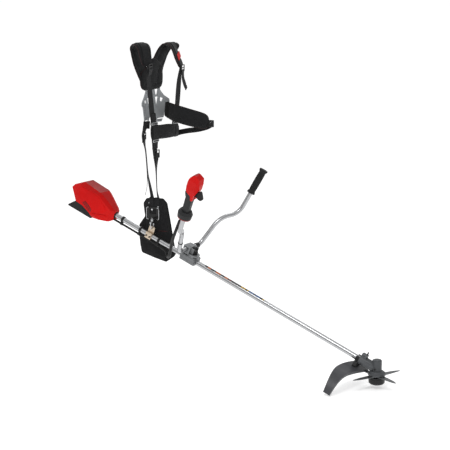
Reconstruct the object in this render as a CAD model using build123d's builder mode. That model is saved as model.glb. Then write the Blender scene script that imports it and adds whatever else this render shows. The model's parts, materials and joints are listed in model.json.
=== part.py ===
from build123d import *
import os
from math import sin, cos, tan, radians, degrees, pi, sqrt, atan2

# ---------------------------------------------------------------------------
# Battery brush cutter with bull-horn handlebar, four-tooth blade and a
# double-shoulder harness with hip protector.  Millimetres.
#
# Frame: origin on the front face of the harness back plate (the face that
# lies against the wearer's back), +X forwards to the cutting head, +Y to the
# wearer's left, +Z up.
# ---------------------------------------------------------------------------

# --- driving dimensions ----------------------------------------------------
SPINDLE_X = 1300.0          # blade spindle ahead of the back plate
SPINDLE_Y = -145.0          # the machine hangs at the right hip
BLADE_Z = -1140.0           # blade plane
AXIS_RISE = 30.0            # tube axis above the blade plane at the spindle
TUBE_ANGLE = 21.6           # slope of the tube, degrees
TUBE_R = 12.7               # main tube, 25.4 mm outside
TUBE_WALL = 1.6
TUBE_FRONT = 58.0           # stations along the tube, from the spindle
TUBE_REAR = 1562.0
BLADE_R = 134.0             # four-tooth blade
BLADE_T = 3.0
SHAFT_R = 4.0               # drive shaft
BAR_R = 11.1                # handlebar tube, 22.2 mm outside
BAR_WALL = 2.0
BAR_STATION = 1091.0        # handlebar centre along the tube
BAR_RISE = 48.0             # handlebar centre above the tube axis
TURN_STATION = 1058.0       # clamp stud, the axis the handlebar turns on
HANGER_STATION = 1318.0     # harness hanger
HOOK_RISE = 38.0            # hook pivot above the tube axis
HOOK_ROD_R = 3.2            # snap hook rod
HOOK_HOLE_R = 3.4           # eye of the hanger
GUARD_DROP = -37.0          # guard top face below the tube axis
WEB_W = 40.0                # harness webbing
WEB_T = 2.4
PINION_TEETH = 12
GEAR_TEETH = 17

os.makedirs("parts", exist_ok=True)

A = radians(TUBE_ANGLE)
FWD = Vector(cos(A), 0, -sin(A))       # along the tube, towards the head
UP = Vector(sin(A), 0, cos(A))         # square to the tube, upwards
LEFT = Vector(0, 1, 0)
AXIS0 = Vector(SPINDLE_X, SPINDLE_Y, BLADE_Z + AXIS_RISE)


def at(s, y=0.0, n=0.0):
    """Point at station s behind the spindle, y to the left, n above the axis."""
    return AXIS0 - FWD * s + LEFT * y + UP * n


def across(s, y=0.0, n=0.0):
    """Plane square to the tube: sketch x = left, sketch y = up, faces the head."""
    return Plane(origin=at(s, y, n), x_dir=LEFT, z_dir=FWD)


def beside(y=0.0):
    """Side-view plane: sketch x = towards the head (-s), sketch y = up."""
    return Plane(origin=at(0, y, 0), x_dir=FWD, z_dir=Vector(0, -1, 0))


def above(n=0.0, s=0.0, y=0.0):
    """Plan plane: sketch x = towards the head, sketch y = left."""
    return Plane(origin=at(s, y, n), x_dir=FWD, z_dir=UP)


def level(z, x=0.0, y=0.0):
    """Horizontal plane at height z over the blade plane, centred on the spindle."""
    return Plane(origin=(SPINDLE_X + x, SPINDLE_Y + y, BLADE_Z + z))


def ring(plane, outer, inner, length, mode=Mode.ADD):
    """Plain ring or disc, extruded from a plane."""
    with BuildSketch(plane, mode=Mode.PRIVATE) as rs:
        Circle(outer)
        if inner > 0:
            Circle(inner, mode=Mode.SUBTRACT)
    extrude(rs.sketch, amount=length, mode=mode)


def ribbon(stations, width, thick):
    """Flat band through stations of (point, width direction)."""
    pts = [Vector(*p) for p, _ in stations]
    sections = []
    for i, (_, wd) in enumerate(stations):
        if i == 0:
            t = pts[1] - pts[0]
        elif i == len(pts) - 1:
            t = pts[-1] - pts[-2]
        else:
            t = (pts[i + 1] - pts[i]).normalized() + (pts[i] - pts[i - 1]).normalized()
        t = t.normalized()
        w = Vector(*wd)
        w = (w - t * w.dot(t)).normalized()
        wid = width[i] if isinstance(width, (list, tuple)) else width
        with BuildSketch(Plane(origin=pts[i], x_dir=w, z_dir=t), mode=Mode.PRIVATE) as section:
            Rectangle(wid, thick)
        sections.append(section.sketch.face())
    loft(sections, ruled=True)


def save(part, name):
    part.part.label = name
    export_step(part.part, "parts/" + name + ".step")


# ===========================================================================
# POWERHEAD
# ===========================================================================
SIDE = [(-1534, 23), (-1634, 81), (-1742, 88), (-1788, 54), (-1801, 32),
        (-1752, -22), (-1708, -25), (-1656, -42), (-1637, -60), (-1545, -36),
        (-1534, -26)]
PLAN = [(-1534, 20), (-1552, 38), (-1606, 50), (-1745, 50), (-1801, 40)]
FRONT = [(50, 68), (34, 88), (-34, 88), (-50, 68), (-50, -46), (-38, -62),
         (38, -62), (50, -46)]


NOSE = [(1534, 14, 23), (1634, 33, 82), (1606, 50, 53)]


def head_solid(inset):
    """Faceted motor housing, moved in by the wall thickness."""
    with BuildPart() as h:
        with BuildSketch(beside(-60)):
            with BuildLine():
                Polyline(*SIDE, close=True)
            make_face()
            if inset > 0:
                offset(amount=-inset, mode=Mode.REPLACE)
        extrude(amount=-120)
        with BuildSketch(above(-90)):
            with BuildLine():
                Polyline(*(PLAN + [(x, -y) for x, y in reversed(PLAN)]), close=True)
            make_face()
            if inset > 0:
                offset(amount=-inset, mode=Mode.REPLACE)
        extrude(amount=200, mode=Mode.INTERSECT)
        with BuildSketch(across(1850)):
            with BuildLine():
                Polyline(*FRONT, close=True)
            make_face()
            if inset > 0:
                offset(amount=-inset, mode=Mode.REPLACE)
        extrude(amount=400, mode=Mode.INTERSECT)
        # slanted shoulders beside the front slope
        for sg in (-1, 1):
            p1, p2, p3 = (at(s, sg * y, n) for s, y, n in NOSE)
            nrm = (p2 - p1).cross(p3 - p1).normalized()
            if nrm.dot(UP) < 0:
                nrm = nrm * -1
            with BuildSketch(Plane(origin=(p1 + p2 + p3) * (1 / 3) - nrm * inset, z_dir=nrm)):
                Rectangle(900, 900)
            extrude(amount=160, mode=Mode.SUBTRACT)
    return h.part


SCREWS = [(1560, 2), (1600, 40), (1690, 66), (1742, 60), (1650, -34), (1580, -24)]


def screw_seat(s, n):
    """Head plane of a housing screw, sunk 3 mm into the left side."""
    half = 50.0
    if s < 1606:
        half = 38.0 + 12.0 * (s - 1552) / 54.0
    if s > 1745:
        half = 50.0 - 10.0 * (s - 1745) / 56.0
    return at(s, half - 4.5, n)


with BuildPart() as housing_shell:
    add(head_solid(0))
    add(head_solid(3.0), mode=Mode.SUBTRACT)
    # socket that grips the tube
    ring(across(1566), 17.5, 0, 30)
    ring(across(1600), 12.75, 0, 80, mode=Mode.SUBTRACT)
    # cable entry below the tube
    ring(across(1600, -6, -22.5), 5.3, 0, 80, mode=Mode.SUBTRACT)
    # battery bay mouth in the rear face
    with BuildSketch(across(1700)) as bay_mouth:
        with Locations((0, 17)):
            Rectangle(78, 62)
    extrude(amount=-140, mode=Mode.SUBTRACT)
    # screw bosses of the left side
    for px, pn in SCREWS:
        ring(Plane(origin=screw_seat(px, pn) + LEFT * 3.0, x_dir=FWD, z_dir=(0, -1, 0)), 5.5, 0, 9.4)
        ring(Plane(origin=screw_seat(px, pn), x_dir=FWD, z_dir=(0, -1, 0)), 1.95, 0, 8,
             mode=Mode.SUBTRACT)
        ring(Plane(origin=screw_seat(px, pn), x_dir=FWD, z_dir=LEFT), 3.6, 0, 12,
             mode=Mode.SUBTRACT)
    # cooling slots in the recess of each side
    with BuildSketch(beside(-60)) as vents:
        with Locations([(-1668 - 9 * k, -8 + 4.2 * k) for k in range(4)]):
            Rectangle(4.0, 20.0, rotation=25)
    extrude(amount=-120, mode=Mode.SUBTRACT)

with BuildPart() as housing_right:
    add(housing_shell.part)
    split(bisect_by=Plane(origin=at(0), x_dir=FWD, z_dir=(0, -1, 0)), keep=Keep.TOP)
save(housing_right, "housing_right")

with BuildPart() as housing_left:
    add(housing_shell.part)
    split(bisect_by=Plane(origin=at(0), x_dir=FWD, z_dir=(0, -1, 0)), keep=Keep.BOTTOM)
save(housing_left, "housing_left")

with BuildPart() as battery_foot:
    with BuildSketch(beside(-43)):
        with BuildLine():
            Polyline((-1656.2, -43), (-1708.2, -26), (-1752, -23), (-1760, -27),
                     (-1792, -61), (-1791, -67), (-1644, -67), (-1637.6, -60.6),
                     close=True)
        make_face()
    extrude(amount=-86)
    # tread grooves under the foot
    with BuildSketch(above(-67)):
        with Locations([(-1660 - 16 * k, 0) for k in range(8)]):
            Rectangle(5, 74)
    extrude(amount=2.0, mode=Mode.SUBTRACT)
save(battery_foot, "battery_foot")

with BuildPart() as battery_bay:
    with BuildSketch(across(1702)):
        with Locations((0, 17)):
            Rectangle(77, 61)
    extrude(amount=-66)
    with BuildSketch(across(1705)):
        with Locations((0, 17)):
            Rectangle(71, 55)
    extrude(amount=-66, mode=Mode.SUBTRACT)
    # keep it inside the slanted rear face
    with BuildSketch(beside(-60)):
        with BuildLine():
            Polyline((-1690, -40), (-1734, -40), (-1795, 30), (-1784, 52), (-1740, 80),
                     (-1690, 80), close=True)
        make_face()
    extrude(amount=-120, mode=Mode.INTERSECT)
    # contact block
    with BuildSketch(across(1705)):
        with Locations((0, 34)):
            Rectangle(44, 12)
    extrude(amount=-22)
    with BuildSketch(across(1727)):
        with Locations([(x, 34) for x in (-15, -7.5, 0, 7.5, 15)]):
            Rectangle(1.6, 8)
    extrude(amount=14, mode=Mode.SUBTRACT)
save(battery_bay, "battery_bay")

with BuildPart() as control_board:
    with BuildSketch(across(1682)):
        with Locations((0, 15)):
            Rectangle(68, 70)
    extrude(amount=3)
    with BuildSketch(across(1679)):
        with Locations((-18, 30), (0, 30), (18, 30), (-18, 4)):
            Rectangle(10, 14)
    extrude(amount=7)
save(control_board, "control_board")

with BuildPart() as motor_stator:
    ring(across(1650), 36, 19, 50)
    with BuildSketch(across(1650)):
        with PolarLocations(27, 12):
            Rectangle(9, 4.4)
    extrude(amount=50, mode=Mode.SUBTRACT)
save(motor_stator, "motor_stator")

with BuildPart() as motor_rotor:
    ring(across(1648), 18.4, 0, 46)
    ring(across(1667), SHAFT_R, 0, 79)
    # cooling fan on the front of the rotor
    ring(across(1601), 9, 0, 4)
    with BuildSketch(across(1600)):
        with PolarLocations(17, 9):
            Rectangle(20, 1.6, rotation=18)
    extrude(amount=3)
    ring(across(1598), 27, 0, 1.2)
save(motor_rotor, "motor_rotor")

with BuildPart() as shaft_coupling:
    ring(across(1588), 8.5, SHAFT_R, 20)
    fillet(shaft_coupling.edges().filter_by(GeomType.CIRCLE).sort_by(SortBy.RADIUS)[-2:], 1.0)
save(shaft_coupling, "shaft_coupling")

# ===========================================================================
# TUBE AND DRIVE
# ===========================================================================
with BuildPart() as main_tube:
    ring(across(TUBE_REAR), TUBE_R, TUBE_R - TUBE_WALL, TUBE_REAR - TUBE_FRONT)
save(main_tube, "main_tube")

with BuildPart() as shaft_bushes:
    for st in (180, 480, 780, 1080, 1380, 1520):
        ring(across(st + 12), TUBE_R - TUBE_WALL, SHAFT_R + 0.05, 24)
save(shaft_bushes, "shaft_bushes")

with BuildPart() as drive_shaft:
    ring(across(1588), SHAFT_R, 0, 1588 - 56)
save(drive_shaft, "drive_shaft")

with BuildPart() as tube_band:
    # thin printed sleeve on the upper side of the tube, plain colour blocks
    with BuildSketch(across(978)):
        with BuildLine():
            a0, a1 = radians(52), radians(128)
            ro, ri = TUBE_R + 0.35, TUBE_R
            CenterArc((0, 0), ro, 52, 76)
            Line((ro * cos(a1), ro * sin(a1)), (ri * cos(a1), ri * sin(a1)))
            CenterArc((0, 0), ri, 52, 76)
            Line((ri * cos(a0), ri * sin(a0)), (ro * cos(a0), ro * sin(a0)))
        make_face()
    extrude(amount=346)
save(tube_band, "tube_band")

with BuildPart() as cable_clips:
    for st in (1258, 1374, 1486):
        with BuildSketch(across(st + 6)):
            Circle(TUBE_R + 2.2)
            with Locations((-6, -22.5)):
                Circle(7.4)
            with Locations((-5.2, -17)):
                Rectangle(9, 9)
            Circle(TUBE_R, mode=Mode.SUBTRACT)
            with Locations((-6, -22.5)):
                Circle(5.0, mode=Mode.SUBTRACT)
        extrude(amount=12)
save(cable_clips, "cable_clips")

with BuildPart() as cable_loom:
    ring(across(1580, -6, -22.5), 5.0, 0, 1580 - 1236)
save(cable_loom, "cable_loom")

# free loop from the loom up to the throttle handle
CABLE_R = 5.6
LOOP = [(1235.9, -6, -22.5), (1206, -6, -22.5), (1176, -34, -26), (1150, -66, -22),
        (1130, -98, 2), (1117, -128, 40), (1108, -158, 86), (1092, -198, 146),
        (1070, -238, 208), (1056, -262, 268)]
loop_pts = [at(*p) for p in LOOP]
loop_radii = []
for i in range(1, len(loop_pts) - 1):
    v1, v2 = loop_pts[i] - loop_pts[i - 1], loop_pts[i + 1] - loop_pts[i]
    half = radians(v1.get_angle(v2)) / 2
    loop_radii.append(0.44 * min(v1.length, v2.length) / tan(half))
print("cable loop radii", [round(r) for r in loop_radii])
with BuildPart() as cable_loop:
    with BuildLine() as loop_path:
        FilletPolyline(*loop_pts, radius=loop_radii)
    with BuildSketch(Plane(origin=loop_path.line @ 0, z_dir=loop_path.line % 0)):
        Circle(CABLE_R)
    sweep()
loop_len = sum(e.length for e in loop_path.edges())
print("cable loop volume / (section x length)",
      round(cable_loop.part.volume / (pi * CABLE_R ** 2 * loop_len), 4), "length", round(loop_len, 1))
save(cable_loop, "cable_loop")

with BuildPart() as hanger_bracket:
    # split collar round the tube
    with BuildSketch(across(HANGER_STATION + 17)):
        RectangleRounded(34, 34, 5)
        with Locations((0, 30)):
            Rectangle(5, 36)
        Circle(TUBE_R, mode=Mode.SUBTRACT)
    extrude(amount=34)
    # eye for the harness hook
    with BuildSketch(beside(-4)):
        with Locations((-HANGER_STATION, HOOK_RISE)):
            Circle(HOOK_HOLE_R)
    extrude(amount=-8, mode=Mode.SUBTRACT)
    for px in (1328, 1308):
        ring(Plane(origin=at(px, -18, -2), x_dir=FWD, z_dir=LEFT), 2.45, 0, 4.1, mode=Mode.SUBTRACT)
    fillet(hanger_bracket.edges().filter_by(Axis(at(0), LEFT)).filter_by(
        lambda e: (e.center() - at(HANGER_STATION)).dot(UP) > 44), 8)
save(hanger_bracket, "hanger_bracket")

# ===========================================================================
# HANDLEBAR
# ===========================================================================
BAR = [(0.0, BAR_RISE, -14.0), (95.0, 48.0, -14.0), (168.0, 192.0, 4.0),
       (272.0, 218.0, 45.0), (329.0, 456.0, 64.6)]


def bar_point(i, side):
    y, n, f = BAR[i]
    return at(1077.0 - f, side * y, n)


bar_pts = [bar_point(i, -1) for i in (4, 3, 2, 1)] + [bar_point(i, 1) for i in (1, 2, 3, 4)]

with BuildPart() as handlebar_tube:
    with BuildLine() as bar_line:
        FilletPolyline(*bar_pts, radius=[74, 110, 46, 46, 110, 74])
    with BuildSketch(Plane(origin=bar_line.line @ 0, z_dir=bar_line.line % 0)):
        Circle(BAR_R)
        Circle(BAR_R - BAR_WALL, mode=Mode.SUBTRACT)
    sweep()
save(handlebar_tube, "handlebar_tube")


def grip_plane(side, d):
    """Plane square to the grip, d millimetres down from the bar end."""
    top, low = bar_point(4, side), bar_point(3, side)
    g = (top - low).normalized()
    x = (FWD - g * FWD.dot(g)).normalized()
    return Plane(origin=top - g * d, x_dir=x, z_dir=g)


with BuildPart() as left_grip:
    with BuildSketch(grip_plane(1, 128)):
        Circle(21)
    with BuildSketch(grip_plane(1, 122)):
        Circle(20)
    with BuildSketch(grip_plane(1, 114)):
        Circle(16.5)
    with BuildSketch(grip_plane(1, 60)):
        Circle(17.5)
    with BuildSketch(grip_plane(1, 12)):
        Circle(16.5)
    with BuildSketch(grip_plane(1, 2)):
        Circle(22)
    with BuildSketch(grip_plane(1, -4)):
        Circle(21)
    loft(ruled=True)
    ring(grip_plane(1, 0), BAR_R, 0, -140, mode=Mode.SUBTRACT)
save(left_grip, "left_grip")

# --- clamp ------------------------------------------------------------------
with BuildPart() as handlebar_clamp_base:
    with BuildSketch(across(1112)):
        with Locations((0, 3.5)):
            RectangleRounded(58, 39, 8)
        Circle(TUBE_R, mode=Mode.SUBTRACT)
        with Locations((21, 0), (-21, 0)):
            Rectangle(14, 2, mode=Mode.SUBTRACT)
    extrude(amount=82)
    ring(above(20, TURN_STATION), 30, 0, 7)
    ring(above(-10, TURN_STATION), 4.2, 0, 44, mode=Mode.SUBTRACT)
    ring(across(1130), TUBE_R, 0, 120, mode=Mode.SUBTRACT)
    for px in (1100, 1042):
        for py in (-21, 21):
            ring(above(28, px, py), 4.5, 0, -8.5, mode=Mode.SUBTRACT)
            ring(above(20, px, py), 2.45, 0, -14, mode=Mode.SUBTRACT)
save(handlebar_clamp_base, "handlebar_clamp_base")

with BuildPart() as handlebar_clamp_cap:
    ring(above(27.3, TURN_STATION), 30, 0, 7)
    with BuildSketch(above(27.3)):
        with Locations((-BAR_STATION, 0)):
            RectangleRounded(40, 62, 7)
        with Locations((-TURN_STATION - 12, 0)):
            Rectangle(34, 44)
    extrude(amount=36)
    # step down round the stud so that the knob has room
    ring(above(34.3, TURN_STATION), 19.5, 0, 40, mode=Mode.SUBTRACT)
    ring(above(20, TURN_STATION), 4.3, 0, 60, mode=Mode.SUBTRACT)
    with BuildSketch(Plane(origin=at(BAR_STATION, -60, BAR_RISE), x_dir=FWD, z_dir=(0, 1, 0))):
        Circle(BAR_R)
    extrude(amount=120, mode=Mode.SUBTRACT)
save(handlebar_clamp_cap, "handlebar_clamp_cap")

with BuildPart() as clamp_knob:
    with BuildSketch(above(36.0, TURN_STATION)):
        Circle(13)
        with PolarLocations(12.5, 5):
            Circle(5.4)
    extrude(amount=17)
    fillet(clamp_knob.edges().filter_by(
        lambda e: (e.center() - at(TURN_STATION)).dot(UP) > 52.5), 2.0)
    ring(above(34.45, TURN_STATION), 11, 0, 2.0)
    ring(above(-8, TURN_STATION), 4.0, 0, 50)
    # the stud stops short of the tube
    ring(above(-9, TURN_STATION), 9, 0, 9 + TUBE_R + 1.2, mode=Mode.SUBTRACT)
save(clamp_knob, "clamp_knob")

# --- throttle handle ---------------------------------------------------------
HG = grip_plane(-1, 0)                     # top end of the right bar
GX, GY, GZ = HG.x_dir, HG.y_dir, HG.z_dir  # forwards, sideways, up the grip


def hp(x, y, d):
    """Point of the throttle handle: x forwards, y sideways, d down the bar."""
    return HG.origin + GX * x + GY * y - GZ * d


def handle_side(y=0.0):
    """Side plane of the handle: sketch x = forwards, sketch y = up the grip."""
    return Plane(origin=hp(0, y, 0), x_dir=GX, z_dir=GY * -1)


TRIG_PIVOT = hp(14.5, 0, 4.0)
LOCK_PIVOT = hp(-13.5, 0, 20.0)
GRIP = [(-17, -118), (17, -118), (17.5, -60), (20, -28), (20, 17), (-16, 17), (-18, -40)]
with BuildPart() as grip_shell:
    with BuildSketch(handle_side(-17)):
        with BuildLine():
            Polyline(*GRIP, close=True)
        make_face()
    extrude(amount=-34)
    fillet(grip_shell.edges().filter_by(
        lambda e: abs((e @ 1 - e @ 0).normalized().dot(GZ)) > 0.9), 9)
    ring(grip_plane(-1, -0.1), BAR_R, 0, -140, mode=Mode.SUBTRACT)
    # hollow head for the switch
    with BuildSketch(handle_side(-11)):
        with Locations((2, 7.2)):
            Rectangle(28, 13)
    extrude(amount=-22, mode=Mode.SUBTRACT)
    # trigger slot through the front
    with BuildSketch(handle_side(-6.2)):
        with Locations((16.1, -12)):
            Rectangle(10, 26)
    extrude(amount=-12.4, mode=Mode.SUBTRACT)
    # slot for the lock-off lever at the back
    with BuildSketch(handle_side(-4.2)):
        with Locations((-16.5, -31)):
            Rectangle(10, 32)
    extrude(amount=-8.4, mode=Mode.SUBTRACT)
    ring(Plane(origin=TRIG_PIVOT - GY * 10.1, x_dir=GX, z_dir=GY), 2.02, 0, 20.2, mode=Mode.SUBTRACT)
    ring(Plane(origin=LOCK_PIVOT - GY * 9.1, x_dir=GX, z_dir=GY), 1.52, 0, 18.2, mode=Mode.SUBTRACT)

with BuildPart() as grip_shell_inner:
    add(grip_shell.part)
    split(bisect_by=Plane(origin=HG.origin, x_dir=GX, z_dir=GY), keep=Keep.TOP)
save(grip_shell_inner, "grip_shell_inner")
with BuildPart() as grip_shell_outer:
    add(grip_shell.part)
    split(bisect_by=Plane(origin=HG.origin, x_dir=GX, z_dir=GY), keep=Keep.BOTTOM)
save(grip_shell_outer, "grip_shell_outer")

# faceted red head of the throttle handle with its tongue down the grip
with BuildPart() as handle_cap:
    with BuildSketch(handle_side(-33)):
        with BuildLine():
            Polyline((-26, 22), (-25, 50), (-16, 76), (-3, 91), (7, 94), (29, 82), (37, 58), (37, 29),
                     (30, 6), (24, -10), (12, -14), (-14, -8), (-21, 4), close=True)
        make_face()
    extrude(amount=-66)
    with BuildSketch(grip_plane(-1, 30)):
        with BuildLine():
            Polyline((-30, 15), (-18, 25), (24, 25), (40, 13), (40, -13), (24, -25),
                     (-18, -25), (-30, -15), close=True)
        make_face()
    extrude(amount=140, mode=Mode.INTERSECT)
    with BuildSketch(Plane(origin=hp(-60, 0, 0), x_dir=GY, z_dir=GX)):
        with BuildLine():
            Polyline((-25.5, 16), (-25.5, 62), (-16, 94.5), (16, 94.5), (25.5, 62), (25.5, 16),
                     (20, -14), (-20, -14), close=True)
        make_face()
    extrude(amount=120, mode=Mode.INTERSECT)
    # tongue down both cheeks of the grip, round to its front
    with BuildSketch(handle_side(-20)):
        with BuildLine():
            Polyline((-13, -2), (-9, -11), (8, -17), (14.5, -38), (22, -38), (24, -8),
                     (20, -2), close=True)
        make_face()
    extrude(amount=-40)
    # seat over the grip shells
    with BuildSketch(handle_side(-17)):
        with BuildLine():
            Polyline(*GRIP, close=True)
        make_face()
    extrude(amount=-34, mode=Mode.SUBTRACT)
    # room for the trigger
    with BuildSketch(handle_side(-6.6)):
        with BuildLine():
            Polyline((13, -50), (13, 2), (20.5, 2.4), (28, 10), (38, 25.5), (52, 36), (80, 36),
                     (80, -50), close=True)
        make_face()
    extrude(amount=-13.2, mode=Mode.SUBTRACT)
save(handle_cap, "handle_cap")

with BuildPart() as handle_collar:
    with BuildSketch(grip_plane(-1, 148)):
        Ellipse(34, 31)
    with BuildSketch(grip_plane(-1, 126)):
        Ellipse(36, 33)
    with BuildSketch(grip_plane(-1, 112)):
        Ellipse(29, 26)
    loft(ruled=True)
    ring(grip_plane(-1, 150), BAR_R, 0, 33, mode=Mode.SUBTRACT)
    with BuildSketch(grip_plane(-1, 118)):
        Rectangle(34.6, 34.6)
    extrude(amount=8, mode=Mode.SUBTRACT)
save(handle_collar, "handle_collar")

with BuildPart() as collar_ring:
    with BuildSketch(grip_plane(-1, 153)):
        Ellipse(33, 30)
    with BuildSketch(grip_plane(-1, 148)):
        Ellipse(34, 31)
    loft(ruled=True)
    ring(grip_plane(-1, 155), BAR_R, 0, 12, mode=Mode.SUBTRACT)
save(collar_ring, "collar_ring")

# trigger: hangs from a pin just under the cap and swings in to the grip
with BuildPart() as throttle_trigger:
    with BuildSketch(handle_side(-5.6)):
        with BuildLine():
            Polyline((11.6, -1.4), (20.5, -1.0), (28, 6), (37, 18), (44, 24), (49.5, 22),
                     (57, 9), (64, -5), (64, -11), (58, -19), (52, -21), (40, -19.5),
                     (30, -15), (21.8, -20.5), (14.5, -22.5), (13.4, -12), close=True)
        make_face()
    extrude(amount=-11.2)
    fillet(throttle_trigger.edges().filter_by(
        lambda e: (e.center() - HG.origin).dot(GX) > 29
        and abs((e @ 1 - e @ 0).normalized().dot(GY)) < 0.1), 1.6)
    ring(Plane(origin=TRIG_PIVOT - GY * 8, x_dir=GX, z_dir=GY), 2.05, 0, 16, mode=Mode.SUBTRACT)
save(throttle_trigger, "throttle_trigger")

with BuildPart() as lockoff_lever:
    with BuildSketch(handle_side(-3.6)):
        with BuildLine():
            Polyline((-12.2, -16.6), (-15.2, -16.6), (-26.0, -21.5), (-31.5, -19.0),
                     (-30.5, -24.5), (-23.2, -44.0), (-20.0, -45.2), (-18.8, -41.0),
                     (-14.0, -26.0), (-12.2, -23.5), close=True)
        make_face()
    extrude(amount=-7.2)
    ring(Plane(origin=LOCK_PIVOT - GY * 8, x_dir=GX, z_dir=GY), 1.55, 0, 16, mode=Mode.SUBTRACT)
save(lockoff_lever, "lockoff_lever")

with BuildPart() as handle_pins:
    ring(Plane(origin=TRIG_PIVOT - GY * 10, x_dir=GX, z_dir=GY), 2.0, 0, 20)
    ring(Plane(origin=LOCK_PIVOT - GY * 9, x_dir=GX, z_dir=GY), 1.5, 0, 18)
save(handle_pins, "handle_pins")

with BuildPart() as trigger_switch:
    with BuildSketch(handle_side(-9)):
        with Locations((-1, 5.6)):
            Rectangle(16, 9)
    extrude(amount=-18)
    ring(Plane(origin=hp(7, 0, -5.6), x_dir=GY, z_dir=GX), 1.8, 0, 2.4)
save(trigger_switch, "trigger_switch")

# ===========================================================================
# CUTTING HEAD
# ===========================================================================
with BuildPart() as gear_housing:
    ring(level(20), 22, 0, 55)
    fillet(gear_housing.edges().filter_by(GeomType.CIRCLE).sort_by(Axis.Z)[-1], 7)
    ring(across(90), 22.5, 0, 78)
    ring(level(8), 19, 0, 14)
    # clamp lugs at the tube end
    with BuildSketch(across(88)):
        with Locations((0, 26)):
            RectangleRounded(22, 20, 4)
    extrude(amount=26)
    # slit of the clamp
    with BuildSketch(across(91)):
        with Locations((0, 27)):
            Rectangle(2, 30)
    extrude(amount=28, mode=Mode.SUBTRACT)
    # cavities
    ring(level(24), 16.5, 0, 41, mode=Mode.SUBTRACT)
    ring(level(7), 14.0, 0, 18, mode=Mode.SUBTRACT)
    ring(across(57), 11.05, 0, 57, mode=Mode.SUBTRACT)
    ring(across(92), TUBE_R, 0, 92 - 57, mode=Mode.SUBTRACT)
    # grease plug seat on the side
    plug = Plane(origin=(SPINDLE_X, SPINDLE_Y - 26, BLADE_Z + 33), x_dir=(1, 0, 0), z_dir=(0, 1, 0))
    ring(plug, 4.6, 0, 5, mode=Mode.SUBTRACT)
    ring(plug, 2.65, 0, 8.2, mode=Mode.SUBTRACT)
    # clamp screw across the slit
    clamp_hole = Plane(origin=at(75, -14, 28.5), x_dir=FWD, z_dir=LEFT)
    ring(clamp_hole, 2.45, 0, 28, mode=Mode.SUBTRACT)
save(gear_housing, "gear_housing")

with BuildPart() as spindle_skirt:
    with BuildSketch(level(22)):
        Circle(30)
    with BuildSketch(level(13)):
        Circle(40)
    with BuildSketch(level(5)):
        Circle(41)
    loft(ruled=True)
    ring(level(4), 19, 0, 20, mode=Mode.SUBTRACT)
    ring(level(4), 36, 0, 5, mode=Mode.SUBTRACT)
    ring(level(19.9), 22.05, 0, 4, mode=Mode.SUBTRACT)
    ring(across(90), 22.55, 0, 78, mode=Mode.SUBTRACT)
save(spindle_skirt, "spindle_skirt")

HEEL = 20.0
with BuildPart() as pinion_gear:
    with BuildSketch(across(12)):
        Circle(5.4)
    with BuildSketch(across(HEEL)):
        Circle(9.2)
    loft(ruled=True)
    with BuildSketch(across(21)):
        with PolarLocations(9.9, PINION_TEETH):
            Rectangle(3.2, 1.9)
    extrude(amount=14, mode=Mode.SUBTRACT)
    ring(across(56), 5.0, 0, 56 - HEEL)
save(pinion_gear, "pinion_gear")

with BuildPart() as bevel_gear:
    with BuildSketch(level(39)):
        Circle(7.8)
    with BuildSketch(level(44.5)):
        Circle(12.2)
    loft(ruled=True)
    with BuildSketch(level(38)):
        with PolarLocations(12.2, GEAR_TEETH):
            Rectangle(5.0, 2.0)
    extrude(amount=8, mode=Mode.SUBTRACT)
    ring(level(44.5), 11.5, 0, 5.5)
    ring(level(30), 6.0, 0, 30, mode=Mode.SUBTRACT)
save(bevel_gear, "bevel_gear")

with BuildPart() as blade_spindle:
    ring(level(-30), 6.0, 0, 94)
save(blade_spindle, "blade_spindle")

with BuildPart() as ball_bearings:
    # spindle, upper and lower
    ring(level(56), 14.0, 6.03, 8)
    ring(level(10), 13.9, 6.03, 8)
    # pinion pair
    ring(across(34), 11.0, 5.03, 8)
    ring(across(54), 11.0, 5.03, 8)
    # motor pair
    ring(across(1665), 11.0, SHAFT_R + 0.03, 7)
    ring(across(1596.5), 8.8, SHAFT_R + 0.03, 6)
save(ball_bearings, "ball_bearings")

with BuildPart() as clamp_washers:
    # upper flange with its locating boss, and the washer under the blade
    ring(level(BLADE_T / 2), 21, 6.0, 4.5)
    ring(level(-BLADE_T / 2 + 0.2), 9.97, 6.0, BLADE_T)
    ring(level(6.0), 9.5, 6.0, 4.0)
    ring(level(-BLADE_T / 2), 21, 6.0, -4.5)
save(clamp_washers, "clamp_washers")

PHI0 = 63.4                                # first tooth, degrees from +X
TOOTH = [(16, -19), (34, -15.5), (74, -12.5), (118, -6.5), (BLADE_R, -2.0), (BLADE_R - 2, 1.5),
         (104, 9.5), (66, 13.5), (34, 15.5), (16, 19)]
with BuildPart() as brush_blade:
    with BuildSketch(level(-BLADE_T / 2)):
        Circle(27)
        for k in range(4):
            a = radians(PHI0 + 90 * k)
            with BuildLine():
                Polyline(*[(x * cos(a) - y * sin(a), x * sin(a) + y * cos(a)) for x, y in TOOTH],
                         close=True)
            make_face()
        Circle(10.0, mode=Mode.SUBTRACT)
        with PolarLocations(42, 4, start_angle=PHI0):
            Circle(4, mode=Mode.SUBTRACT)
    extrude(amount=BLADE_T)
save(brush_blade, "brush_blade")

with BuildPart() as glide_cup:
    with BuildSketch(level(-6)):
        Circle(37)
    with BuildSketch(level(-13)):
        Circle(38)
    with BuildSketch(level(-32)):
        Circle(36.5)
    with BuildSketch(level(-38)):
        Circle(30)
    loft(ruled=True)
    ring(level(-6), 34, 0, -5, mode=Mode.SUBTRACT)
    ring(level(-39), 12.5, 0, 22, mode=Mode.SUBTRACT)
    ring(level(-39), 6.0, 0, 40, mode=Mode.SUBTRACT)
save(glide_cup, "glide_cup")

with BuildPart() as blade_nut:
    with BuildSketch(level(-17)):
        RegularPolygon(radius=9.8, side_count=6)
        Circle(6.0, mode=Mode.SUBTRACT)
    extrude(amount=-11)
save(blade_nut, "blade_nut")

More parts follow.
